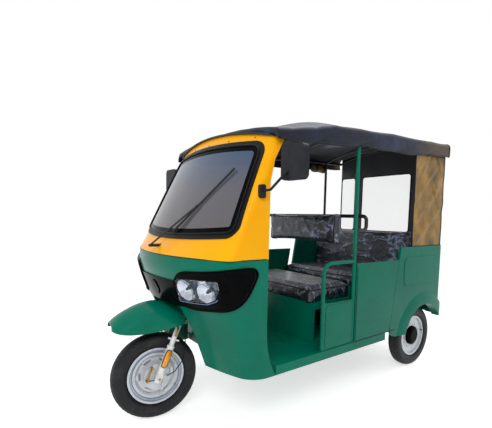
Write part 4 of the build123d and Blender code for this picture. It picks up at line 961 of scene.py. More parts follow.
@dataclass
class Wheels:
    """Three wheels: treaded tyres, hub caps, valves and the front wheel's nut."""

    outer: float = 0.251
    flange: float = 0.166
    half_width: float = 0.048
    bead_half: float = 0.030
    rows: int = 56
    steps: int = 720
    front_centre: Point = (-0.0057649, -1.0396289, 0.2508425)
    front_axle: Point = (0.9902681, -0.1281095, 0.0543793)
    rear_centre: Point = (0.476, 0.987, 0.251)

    def section(self) -> list[tuple[float, float]]:
        """Tyre section from bead to bead as (radius, place across)."""
        middle = (self.outer + self.flange) / 2
        half = (self.outer - self.flange) / 2
        rows: list[tuple[float, float]] = [(self.flange - 0.008, -self.bead_half)]
        for row in range(self.rows):
            turn = math.radians(240.0 - 300.0 * row / (self.rows - 1))
            x, y = math.cos(turn), math.sin(turn)
            rows.append((
                middle + half * math.copysign(abs(y) ** 0.62, y),
                self.half_width * math.copysign(abs(x) ** 0.72, x),
            ))
        rows.append((self.flange - 0.008, self.bead_half))
        return rows

    def tread(self, section: list[tuple[float, float]], grooves: Sequence[float], lugs: int) -> Callable[[float, int], float]:
        """Depth of the tread pattern at (share of a turn, row)."""

        def depth(share: float, row: int) -> float:
            radius, across = section[row]
            if radius < 0.232:
                ring = math.exp(-(((radius - 0.207) / 0.0022) ** 2))
                return -mm(0.9) * ring if abs(across) > 0.04 else 0.0
            cut = max(math.exp(-(((across - groove) / 0.0026) ** 4)) for groove in grooves)
            phase = (share * lugs + 2.2 * abs(across) / self.half_width + (0.5 if across > 0 else 0.0)) % 1.0
            slot = math.exp(-(((phase - 0.5) / 0.13) ** 4)) if abs(across) > 0.011 else 0.0
            return mm(5.0) * max(cut, 0.85 * slot)

        return depth

    def tyre(self, shop: Workshop, name: str, node: str, body: str, centre: Sequence[float], axis: Sequence[float], grooves: Sequence[float], lugs: int) -> None:
        """Put one treaded tyre in place of the plain one."""
        section = self.section()
        mesh = lathe(name, section, centre, axis, self.steps, self.tread(section, grooves, lugs))
        piece = shop.add(name, mesh, Paint.TYRE, body)
        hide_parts(node)

    def cap_height(self, probe: Probe, side: str, sign: float, reach: float) -> float:
        """How far out the hub cap stands at a distance from the axle."""
        x, y, z = self.rear_centre
        found = probe.hit(f"rim_rear_{side}", (sign * 1.0, y, z + reach), (-sign, 0.0, 0.0))
        return (abs(found[0].x) if found else x + 0.05) - x + 0.0014

    def build(self, shop: Workshop) -> None:
        """Make every wheel."""
        probe = Probe(shop.frame)
        back = [(0.07, 0.006), (0.138, 0.006), (0.138, -0.004), (0.07, -0.004), (0.07, 0.006)]
        mesh = lathe("rim_front_web", back, self.front_centre, self.front_axle, 72)
        shop.add("rim_front_web", mesh, Paint.ALLOY, "front_wheel")
        grooves = []
        for sign in (1.0, -1.0):
            for radius, place in ((0.152, 0.0335), (0.139, 0.024)):
                path = [(radius + 0.0022 * math.cos(math.tau * i / 8), sign * place + 0.0022 * math.sin(math.tau * i / 8)) for i in range(9)]
                grooves.append(lathe("groove", path, self.front_centre, self.front_axle, 96))
        shop.add("rim_front_grooves", joined("rim_front_grooves", grooves), Paint.BLUE_TRIM_AND_HIGHLIGHT, "front_wheel")
        self.tyre(
            shop, "tyre_front_treaded", "tyre_front", "front_wheel", self.front_centre, self.front_axle,
            (-0.014, 0.014), 46,
        )
        x, y, z = self.rear_centre
        for side, sign in (("left", 1.0), ("right", -1.0)):
            body = f"rear_wheel_{side}"
            centre = (sign * x, y, z)
            self.tyre(shop, f"tyre_{side}_treaded", f"tyre_rear_{side}", body, centre, (1, 0, 0), (-0.017, 0.0, 0.017), 40)
            cap = [(0.0, self.cap_height(probe, side, sign, 0.002))]
            cap += [(mm(reach), self.cap_height(probe, side, sign, mm(reach))) for reach in range(6, 76, 6)]
            cap += [(0.0775, cap[-1][1] - 0.006), (0.0775, 0.0)]
            mesh = lathe(f"hub_cap_{side}", cap, centre, (sign, 0, 0), 64)
            shop.add(f"hub_cap_{side}", mesh, Paint.GLOSS_BLACK, body)
            valve = tube(
                f"valve_{side}",
                [(sign * (x + 0.028), y + 0.13, z + 0.03), (sign * (x + 0.04), y + 0.127, z + 0.029), (sign * (x + 0.052), y + 0.118, z + 0.027)],
                0.0042, 8,
            )
            shop.add(f"valve_{side}", valve, Paint.SEAL, body)
        along = Vector(self.front_axle)
        hub = Vector(self.front_centre)
        nut = [(0.0, 0.112), (0.007, 0.112), (0.0085, 0.109), (0.0085, 0.1), (0.013, 0.1), (0.0145, 0.098), (0.0145, 0.088), (0.019, 0.088), (0.019, 0.084), (0.0, 0.084)]
        nuts = [lathe("axle_nuts", nut, hub, along * sign, 6) for sign in (1.0, -1.0)]
        shop.add("axle_nuts", joined("axle_nuts", nuts), Paint.BRASS, "steering", smooth=False)


@dataclass
class ForkTrim:
    """Reflectors, brackets and the lever that hang on the front fork."""

    foot: Point = (0.0, -0.995, 0.251)
    lean_deg: float = 23.0
    steer_deg: float = -8.0
    leg_across: float = 0.084
    leg_ahead: float = -0.0414

    def place(self, x: float, y: float, s: float) -> Vector:
        """A point of the fork's own frame (across, ahead/aft, up the column)."""
        lean = math.radians(self.lean_deg)
        axis = Vector((0.0, math.sin(lean), math.cos(lean)))
        aftwards = Vector((0.0, math.cos(lean), -math.sin(lean)))
        turn = Matrix.Rotation(math.radians(self.steer_deg), 3, axis)
        return Vector(self.foot) + turn @ (Vector((x, 0.0, 0.0)) + aftwards * y) + axis * s

    def build(self, shop: Workshop) -> None:
        """Hang every small part on the fork."""
        brackets: list[bpy.types.Mesh] = []
        ambers: list[bpy.types.Mesh] = []
        frames: list[bpy.types.Mesh] = []
        collars: list[bpy.types.Mesh] = []
        axis = (self.place(0, 0, 1) - self.place(0, 0, 0)).normalized()
        outwards = (self.place(1, 0, 0) - self.place(0, 0, 0)).normalized()
        for sign in (1.0, -1.0):
            leg = sign * self.leg_across
            for level, radius, length in ((168.0, 0.0225, 0.012), (40.0, 0.0215, 0.008), (96.0, 0.0212, 0.006)):
                at = self.place(leg, self.leg_ahead, mm(level))
                rows = [(0.0, 0.0), (radius, 0.0), (radius, length), (0.0, length)]
                collars.append(lathe("fork_collars", rows, at, axis, 32))
            tab = [self.place(leg, self.leg_ahead - 0.034, 0.218), self.place(leg, self.leg_ahead + 0.034, 0.218)]
            collars.append(tube("fork_tabs", tab, 0.006, 10))
            shoe = [(0.0, 0.0), (0.021, 0.0), (0.0225, 0.002), (0.0225, 0.013), (0.021, 0.015), (0.0, 0.015)]
            hub = self.place(leg + sign * 0.006, self.leg_ahead, 0.0)
            collars.append(lathe("fork_shoes", shoe, hub, outwards * sign, 4))
            for half, height, thick, parts in ((0.019, 0.085, 0.007, frames), (0.0155, 0.079, 0.0095, ambers)):
                start = self.place(leg + sign * 0.0185, self.leg_ahead - 0.004, 0.084)
                ahead = (self.place(0, -1, 0) - self.place(0, 0, 0)).normalized()
                corners = []
                for depth in (0.0, thick):
                    for step in range(32):
                        turn = math.tau * step / 32
                        flat = math.copysign(abs(math.cos(turn)) ** 0.45, math.cos(turn)) * half
                        tall = math.copysign(abs(math.sin(turn)) ** 0.45, math.sin(turn)) * height / 1.0
                        corners.append(start + ahead * flat + axis * (tall * 0.62 + 0.02) + outwards * sign * depth)
                faces = [(i, (i + 1) % 32, 32 + (i + 1) % 32, 32 + i) for i in range(32)]
                faces += [tuple(range(32)), tuple(range(63, 31, -1))]
                parts.append(mesh_of("reflector", corners, faces))
            brackets.append(tube(
                "fork_brackets",
                [self.place(leg - sign * 0.002, self.leg_ahead, 0.3), self.place(leg + sign * 0.02, self.leg_ahead - 0.006, 0.292), self.place(leg + sign * 0.02, self.leg_ahead - 0.004, 0.24)],
                0.006, 8,
            ))
        shop.add("fork_collars", joined("fork_collars", collars), Paint.WHITE, "steering", smooth=False)
        shop.add("reflector_frames", joined("reflector_frames", frames), Paint.SEAL, "steering")
        shop.add("reflectors", joined("reflectors", ambers), Paint.AMBER, "steering")
        shop.add("fork_brackets", joined("fork_brackets", brackets), Paint.BRASS, "steering")
        lever = [self.place(0.066, -0.093, 0.026), self.place(0.068, -0.096, -0.01), self.place(0.068, -0.094, -0.052)]
        parts = [tube("lever", lever, 0.0055, 8)]
        for end in (lever[0], lever[-1]):
            parts.append(tube("lever", [end - outwards * 0.012, end + outwards * 0.011], 0.008, 6))
        shop.add("brake_lever", joined("brake_lever", parts), Paint.BRASS, "steering", smooth=False)
        rod = [lever[-1], self.place(0.067, -0.05, -0.035), self.place(0.066, -0.02, -0.02)]
        shop.add("brake_rod", tube("brake_rod", rod, 0.003, 8), Paint.BLACK_STEEL, "steering")


@dataclass
class Lamps:
    """Headlamps in place of the plain blocks: clear lens, two plated chambers and bulbs."""

    ahead: Vector = field(default_factory=lambda: Vector((0.0, -1.0, 0.0)))
    wall: float = 0.0016
    depth: float = 0.034
    level: float = 0.812
    divide: float = 0.385
    chambers: tuple[tuple[float, float, int], ...] = ((0.315, 0.062, 14), (0.455, 0.058, 10))

    def build(self, shop: Workshop) -> None:
        """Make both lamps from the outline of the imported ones."""
        node = shop.frame["nodes"]["headlamps"]
        shape = bmesh.new()
        shape.from_mesh(node.data)
        shape.transform(node.matrix_world)
        lens = bpy.data.meshes.new("lamp_lenses")
        shape.to_mesh(lens)
        piece = shop.add("lamp_lenses", lens, Paint.LENS)
        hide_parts("headlamps")
        bmesh.ops.remove_doubles(shape, verts=shape.verts, dist=mm(0.05))
        shape.normal_update()
        for vert in shape.verts:
            vert.co -= vert.normal * self.wall
        front = [face for face in shape.faces if face.normal.dot(self.ahead) > 0.3]
        bmesh.ops.delete(shape, geom=front, context="FACES")
        bucket = bpy.data.meshes.new("lamp_buckets")
        shape.to_mesh(bucket)
        points = [vert.co.copy() for vert in shape.verts]
        shape.free()
        shop.add("lamp_buckets", bucket, Paint.CHROME)
        bowls: list[bpy.types.Mesh] = []
        bulbs: list[bpy.types.Mesh] = []
        fins: list[bpy.types.Mesh] = []
        probe = Probe(shop.frame)
        for sign in (1.0, -1.0):
            for x, radius, flutes in self.chambers:
                found = probe.hit("headlamps", (sign * x, -1.6, self.level), (0.0, 1.0, 0.0))
                if not found:
                    continue
                face, facing = found
                centre = face - facing * (self.depth + 0.002)
                rows = [(radius * step / 20, self.depth * 0.86 * (step / 20) ** 2) for step in range(21)]
                bowls.append(lathe(
                    "bowls", rows, centre, facing, flutes * 4,
                    lambda share, row, count=flutes: mm(1.6) * abs(math.sin(math.pi * share * count)) * row / 20,
                ))
                bulb = [(0.0, 0.024), (0.0055, 0.0225), (0.0075, 0.017), (0.0075, 0.006), (0.011, 0.005), (0.011, 0.0)]
                bulbs.append(lathe("bulbs", bulb, centre, facing, 24))
            found = probe.hit("headlamps", (sign * self.divide, -1.6, self.level), (0.0, 1.0, 0.0))
            if found:
                face, facing = found
                across = Vector((0.0, 0.0, 1.0)).cross(facing).normalized()
                base = face - facing * self.depth
                tall = Vector((0.0, 0.0, 0.05))
                spread = across * 0.004
                peak = facing * self.depth * 0.7
                corners = [base - tall - spread, base - tall + spread, base + tall + spread, base + tall - spread,
                           base - tall + peak, base + tall + peak]
                fins.append(mesh_of("fins", corners, [(0, 4, 5, 3), (1, 2, 5, 4)]))
        shop.add("lamp_bowls", joined("lamp_bowls", bowls), Paint.CHROME, smooth=False)
        shop.add("lamp_fins", joined("lamp_fins", fins), Paint.CHROME, smooth=False)
        shop.add("lamp_bulbs", joined("lamp_bulbs", bulbs), Paint.GREY_PLASTIC)


@dataclass
class LampSurround:
    """Moulded black surround round each lamp, in one sweep from the nose to the side."""

    pivot: tuple[float, float] = (0.28, -0.58)
    outline: tuple[Point, ...] = (
        (0.2676, -1.0264, 0.8926), (0.3184, -1.0161, 0.9165), (0.4105, -0.987, 0.921), (0.516, -0.9428, 0.9326),
        (0.5781, -0.877, 0.9465), (0.591, -0.7916, 0.9514), (0.591, -0.746, 0.9452), (0.591, -0.7261, 0.9218),
        (0.591, -0.7368, 0.8881), (0.591, -0.7662, 0.8344), (0.5906, -0.7987, 0.7881), (0.576, -0.836, 0.7497),
        (0.5366, -0.8752, 0.7283), (0.4626, -0.9091, 0.7206), (0.3394, -0.9484, 0.7099), (0.2492, -0.975, 0.7185),
        (0.2131, -0.9939, 0.7478), (0.2250, -1.0200, 0.8250),
    )
    rings: int = 14
    steps: int = 180
    proud: float = 0.0125
    recess: tuple[float, float] = (-0.790, 0.836)

    def flat(self, point: Sequence[float]) -> tuple[float, float]:
        """A place on the cab as (angle round the pivot, height)."""
        return math.atan2(point[1] - self.pivot[1], point[0] - self.pivot[0]), point[2]

    def rounded(self, outline: Sequence[tuple[float, float]], times: int = 3) -> list[tuple[float, float]]:
        """Cut the corners of an outline until it runs smooth."""
        line = list(outline)
        for _ in range(times):
            line = [
                (a[0] + (b[0] - a[0]) * share, a[1] + (b[1] - a[1]) * share)
                for a, b in zip(line, line[1:] + line[:1]) for share in (0.25, 0.75)
            ]
        return line

    def reach(self, outline: Sequence[tuple[float, float]], middle: tuple[float, float], turn: float) -> tuple[float, float]:
        """Where a ray from the middle at an angle leaves the outline."""
        dx, dz = math.cos(turn) * 0.35, math.sin(turn) * 0.12
        best = 0.0
        for (ax, az), (bx, bz) in zip(outline, list(outline[1:]) + [outline[0]]):
            ex, ez = bx - ax, bz - az
            cross = dx * ez - dz * ex
            if abs(cross) < 1e-12:
                continue
            along = ((ax - middle[0]) * ez - (az - middle[1]) * ex) / cross
            share = ((ax - middle[0]) * dz - (az - middle[1]) * dx) / cross
            if along > best and -1e-6 <= share <= 1.0 + 1e-6:
                best = along
        return middle[0] + dx * best, middle[1] + dz * best

    def surface(self, probe: Probe, place: tuple[float, float], lift: float) -> Vector:
        """A point lifted off the cab at (angle, height)."""
        angle, level = place
        out = Vector((math.cos(angle), math.sin(angle), 0.0))
        origin = Vector((self.pivot[0], self.pivot[1], level)) + out * 1.2
        found = probe.hit("cab_lower", origin, -out)
        if not found:
            return origin - out * 0.8
        point, normal = found
        return point + normal * lift

    def build(self, shop: Workshop) -> None:
        """Sweep the skin between the lens and the outline, on both sides."""
        probe = Probe(shop.frame)
        lens = [point for point, _ in front_loop(shop.frame["nodes"]["headlamps"], Vector((0.3, -0.95, 0.0)), 0.3)]
        if lens[0].x < 0:
            lens = [Vector((-p.x, p.y, p.z)) for p in lens]
        hole = [self.flat(point) for point in lens]
        outer = self.rounded([self.flat(point) for point in self.outline])
        middle = (sum(p[0] for p in hole) / len(hole), (min(p[1] for p in hole) + max(p[1] for p in hole)) / 2)
        rows: list[list[Vector]] = []
        for ring in range(self.rings + 1):
            share = ring / self.rings
            lift = self.proud * min(1.0, 0.62 + share * 2.2)
            if 0.72 < share < 1.0:
                lift += 0.004
            if ring == self.rings:
                lift = 0.0
            if ring == self.rings - 1:
                lift = self.proud * 0.7
            spread = min(share * 1.0, 1.0) if ring < self.rings - 1 else 1.0
            line = []
            for step in range(self.steps + 1):
                turn = math.tau * (step % self.steps + 0.37) / self.steps
                inner = self.reach(hole, middle, turn)
                far = self.reach(outer, middle, turn)
                place = (inner[0] + (far[0] - inner[0]) * spread, inner[1] + (far[1] - inner[1]) * spread)
                line.append(self.surface(probe, place, lift))
            rows.append(line)
        skins, beads, highlight_lines, recesses = [], [], [], []
        for sign in (1.0, -1.0):
            turned = [[Vector((p.x * sign, p.y, p.z)) for p in line] for line in rows]
            skins.append(grid_mesh("surround", turned))
            beads.append(tube("bead", turned[-2][:-1], 0.0042, 8, closed=True))
            low = [p for p in turned[1][:-1]]
            # A thin blue line along the lower lip of the lens opening: a painted highlight on the edge of the black
            # surround.
            highlight_lines.append(tube("trim", low[int(self.steps * 0.55):int(self.steps * 0.97)], 0.0022, 8))
            y, z = self.recess
            found = probe.hit("cab_lower", (sign * 1.5, y, z), (-sign, 0.0, 0.0))
            if found:
                profile = [(0.0, 0.0145), (0.013, 0.0145), (0.0155, 0.021), (0.018, 0.021), (0.0205, 0.012)]
                recesses.append(lathe("recess", profile, found[0], found[1], 40))
        shop.add("lamp_surround_skins", joined("lamp_surround_skins", skins), Paint.GLOSS_BLACK)
        shop.add("lamp_surround_beads", joined("lamp_surround_beads", beads), Paint.GLOSS_BLACK)
        shop.add("lamp_highlight_lines", joined("lamp_highlight_lines", highlight_lines), Paint.BLUE_TRIM_AND_HIGHLIGHT)
        shop.add("lamp_recesses", joined("lamp_recesses", recesses), Paint.GLOSS_BLACK)


@dataclass
class Screen:
    """Windscreen glass with its printed border and its bead."""

    border: float = 0.034

    def build(self, shop: Workshop) -> None:
        """Print the border on the glass and run its bead round it."""
        shop.dress(Paint.SCREEN, "windscreen_glass")
        loop = even_loop(front_loop(shop.frame["nodes"]["windscreen_glass"], Vector((0.0, -1.0, 0.2)).normalized()), 0.012)
        shop.add("screen_border", rim_band("screen_border", loop, self.border, mm(0.8)), Paint.GLOSS_BLACK)
        bead = [point + normal * 0.004 for point, normal in loop]
        shop.add("screen_bead", tube("screen_bead", bead, 0.0055, 8, closed=True), Paint.SEAL)


@dataclass
class Seats:
    """Four padded pieces, blown up as cloth over their packed blocks."""

    voxel_mm: float = 6.0
    pressure: float = 4.0
    swell: float = 0.022
    frames: int = 16
    fine_below: int = 20000

    def pad(self, shop: Workshop, node_name: str, paint: Paint) -> bpy.types.Object:
        """Blow up one cushion.

        Args:
            shop: the workshop.
            node_name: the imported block.
            paint: the cover.

        Returns:
            The padded piece.
        """
        node = shop.frame["nodes"][node_name]
        mesh = node.data.copy()
        mesh.materials.clear()
        name = f"{node_name}_padded"
        piece = shop.add(name, mesh, paint)
        piece.matrix_world = node.matrix_world.copy()
        remesh = piece.modifiers.new("even_cells", "REMESH")
        remesh.mode = "VOXEL"
        remesh.voxel_size = mm(self.voxel_mm)
        self.apply(piece)
        self.settle(piece)
        self.blow(piece)
        if len(piece.data.polygons) < self.fine_below:
            finer = piece.modifiers.new("finer_skin", "SUBSURF")
            finer.levels = 1
            finer.render_levels = 1
            self.apply(piece)
        piece.data.polygons.foreach_set("use_smooth", [True] * len(piece.data.polygons))
        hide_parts(node_name)
        return piece

    def apply(self, piece: bpy.types.Object) -> None:
        """Take the modifiers' result as the piece's mesh."""
        seen = piece.evaluated_get(bpy.context.evaluated_depsgraph_get())
        mesh = bpy.data.meshes.new_from_object(seen)
        piece.modifiers.clear()
        piece.data = mesh

    def settle(self, piece: bpy.types.Object) -> None:
        """Round the block's edges."""
        shape = bmesh.new()
        shape.from_mesh(piece.data)
        for _ in range(6):
            bmesh.ops.smooth_vert(shape, verts=shape.verts, factor=0.5, use_axis_x=True, use_axis_y=True, use_axis_z=True)
        shape.to_mesh(piece.data)
        shape.free()

    def blow(self, piece: bpy.types.Object) -> None:
        """Let cloth under pressure find the cushion's shape, within the swell."""
        cloth = piece.modifiers.new("pressed_cloth", "CLOTH")
        settings = cloth.settings
        settings.use_pressure = True
        settings.uniform_pressure_force = self.pressure
        settings.effector_weights.gravity = 0.0
        settings.quality = 4
        settings.tension_stiffness = 12.0
        settings.compression_stiffness = 6.0
        settings.bending_stiffness = 0.4
        cloth.point_cache.frame_start = 1
        cloth.point_cache.frame_end = self.frames
        scene = bpy.context.scene
        start = [vert.co.copy() for vert in piece.data.vertices]
        for frame in range(1, self.frames + 1):
            scene.frame_set(frame)
        self.apply(piece)
        scene.frame_set(1)
        for vert, rest in zip(piece.data.vertices, start):
            moved = vert.co - rest
            if moved.length > self.swell:
                vert.co = rest + moved.normalized() * self.swell

    def piping(self, shop: Workshop, piece: bpy.types.Object, inset: float, vertical: bool) -> None:
        """Sew piping round a cushion, on its own skin.

        Args:
            shop: the workshop.
            piece: the padded cushion.
            inset: how far the seam lies behind the cushion's front or top.
            vertical: whether the seam runs round a backrest's front face.
        """
        points = [piece.matrix_world @ vert.co for vert in piece.data.vertices]
        tree = BVHTree.FromPolygons(points, [tuple(face.vertices) for face in piece.data.polygons])
        low = Vector([min(point[axis] for point in points) for axis in range(3)])
        high = Vector([max(point[axis] for point in points) for axis in range(3)])
        middle, half = (low + high) / 2, (high - low) / 2
        flat, up = (1, 2) if vertical else (2, 1)
        middle[flat] = low[1] + inset if vertical else high[2] - inset
        path = []
        for step in range(240):
            turn = math.tau * step / 240
            out = Vector((half[0] * math.cos(turn), 0.0, 0.0))
            out[up] = half[up] * math.sin(turn)
            place, _, _, _ = tree.ray_cast(middle + out * 2.0, -out.normalized())
            if place is not None:
                path.append(place)
        name = piece.name.replace("_padded", "_piping")
        shop.add(name, tube(name, path, 0.0042, 8, closed=True), Paint.BINDING)

    def build(self, shop: Workshop) -> None:
        """Pad the driver's seat and the passengers' bench."""
        for node_name, fill, seam, vertical in (
            ("driver_cushion", 0.7, 0.03, False), ("driver_backrest", 0.7, 0.022, True),
            ("rear_cushion", 0.65, 0.03, False), ("rear_backrest", 0.65, None, True),
        ):
            piece = self.pad(shop, node_name, Paint.WRAPPED)
            if seam is not None:
                self.piping(shop, piece, seam, vertical)


@dataclass
class Roof:
    """Coated canvas over the bows, with its lining, hem and front brow."""

    half: float = 0.604
    sections: tuple[tuple[float, float, float, float], ...] = (
        (0.425, 1.628, 1.690, 1.735), (0.870, 1.655, 1.780, 1.862),
        (1.500, 1.702, 1.828, 1.895), (2.300, 1.750, 1.868, 1.912),
    )
    bows: tuple[float, ...] = (0.870, 1.126, 1.5, 2.03, 2.26)
    rounding: float = 0.036
    skin: float = 0.003
    across_steps: int = 120
    along_steps: int = 240

    def levels(self, distance: float) -> tuple[float, float, float]:
        """Edge, shoulder and crown heights at a distance behind the front axle."""
        rows = self.sections
        for (start, *low), (end, *high) in zip(rows, rows[1:]):
            if distance <= end or end == rows[-1][0]:
                share = (distance - start) / (end - start)
                edge, shoulder, crown = [a + (b - a) * share for a, b in zip(low, high)]
                return edge, shoulder, crown
        raise ValueError(distance)

    def sag(self, distance: float) -> float:
        """How far the canvas hangs between two bows."""
        places = (self.sections[0][0], *self.bows, self.sections[-1][0])
        for start, end in zip(places, places[1:]):
            if start <= distance <= end:
                share = (distance - start) / (end - start)
                return min(0.02 * (end - start), 0.009) * math.sin(math.pi * share)
        return 0.0

    def ring(self, distance: float, inset: float = 0.0) -> list[Vector]:
        """Points of the canvas from the left edge over the crown to the right edge."""
        edge, shoulder, crown = self.levels(distance)
        half = self.half - inset
        shoulder, crown = shoulder - inset, crown - inset
        corner = self.rounding
        outline: list[tuple[float, float]] = []
        drop = 10
        for step in range(drop):
            outline.append((half, edge + (shoulder - corner - edge) * step / drop))
        for step in range(9):
            turn = math.radians(80.0 * step / 8)
            outline.append((half - corner + corner * math.cos(turn), shoulder - corner + corner * math.sin(turn)))
        start_x, start_z = outline[-1]
        for step in range(1, 30):
            share = step / 29
            x = start_x * (1.0 - share)
            rise = 1.0 - (x / start_x) ** 2.4
            outline.append((x, start_z + (crown - start_z) * rise))
        full = outline + [(-x, z) for x, z in outline[-2::-1]]
        return [Vector((x, aft(distance), z)) for x, z in full]

    def point(self, row: list[Vector], distance: float, index: int) -> Vector:
        """A point of the canvas with its sag, its wrinkles and the wave of the valance."""
        place = row[index].copy()
        share = index / (len(row) - 1)
        top = math.sin(math.pi * min(max((share - 0.1) / 0.8, 0.0), 1.0)) ** 0.5
        place.z -= self.sag(distance) * top
        ruck = noise.noise(Vector((place.x * 5.0, distance * 9.0, 0.3))) * 0.004
        near_front = math.exp(-((distance - 0.64) / 0.16) ** 2)
        fold = 1.0 - abs(math.sin(distance * 26.0 + place.x * 7.0 + noise.noise(place * 3.0) * 3.0))
        place.z -= top * (abs(ruck) + 0.010 * near_front * fold)
        side = 1.0 if place.x > 0 else -1.0
        hang = max(0.0, 1.0 - min(share, 1.0 - share) / 0.16)
        pleat = 1.0 - abs(math.sin(distance * 7.5 + 1.3 * side + 3.0 * hang))
        place.x -= side * hang * (0.002 + 0.012 * pleat ** 2 * hang)
        wave = 0.008 * math.sin(distance * 6.3 + 0.7) + 0.004 * math.sin(distance * 17.0 + side)
        place.z += wave * hang ** 2
        return place

    def build(self, shop: Workshop) -> None:
        """Make the canvas, its lining and its hem."""
        start, end = self.sections[0][0], self.sections[-1][0]
        distances = [start + (end - start) * step / self.along_steps for step in range(self.along_steps + 1)]
        rings = [self.ring(distance) for distance in distances]
        rows = [
            [self.point(ring, distance, index) for index in range(len(ring))]
            for ring, distance in zip(rings, distances)
        ]
        for drop, ahead in ((0.012, 0.004), (0.034, 0.006)):
            rows.insert(0, [
                Vector((point.x * (1.0 - 0.2 * drop), aft(start) - ahead, max(point.z - drop, rings[0][0].z - 0.004)))
                for point in rings[0]
            ])
        canvas = shop.add("roof_canvas", grid_mesh("roof_canvas", rows), Paint.CANVAS)
        thick = canvas.modifiers.new("cloth_thickness", "SOLIDIFY")
        thick.thickness = self.skin
        thick.offset = -1.0
        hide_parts("roof_canopy")
        linings = []
        for step in range(0, self.along_steps + 1, 6):
            distance = max(distances[step], start + 0.46)
            linings.append([p for p in self.ring(distance, 0.011)][9:-9])
        lining_mesh = grid_mesh("roof_lining", linings)
        shop.add("roof_lining", lining_mesh, Paint.LINING)
        hems = []
        for index in (0, -1):
            side = 1.0 if index == 0 else -1.0
            path = [row[index] + Vector((side * 0.0005, 0.0, 0.002)) for row in rows[2::3]]
            hems.append(tube("hem", path, 0.005, 8))
        hems.append(tube("hem", [point + Vector((0, 0.0, -0.001)) for point in rows[-1][::2]], 0.005, 8))
        shop.add("roof_hem", joined("roof_hem", hems), Paint.BINDING)


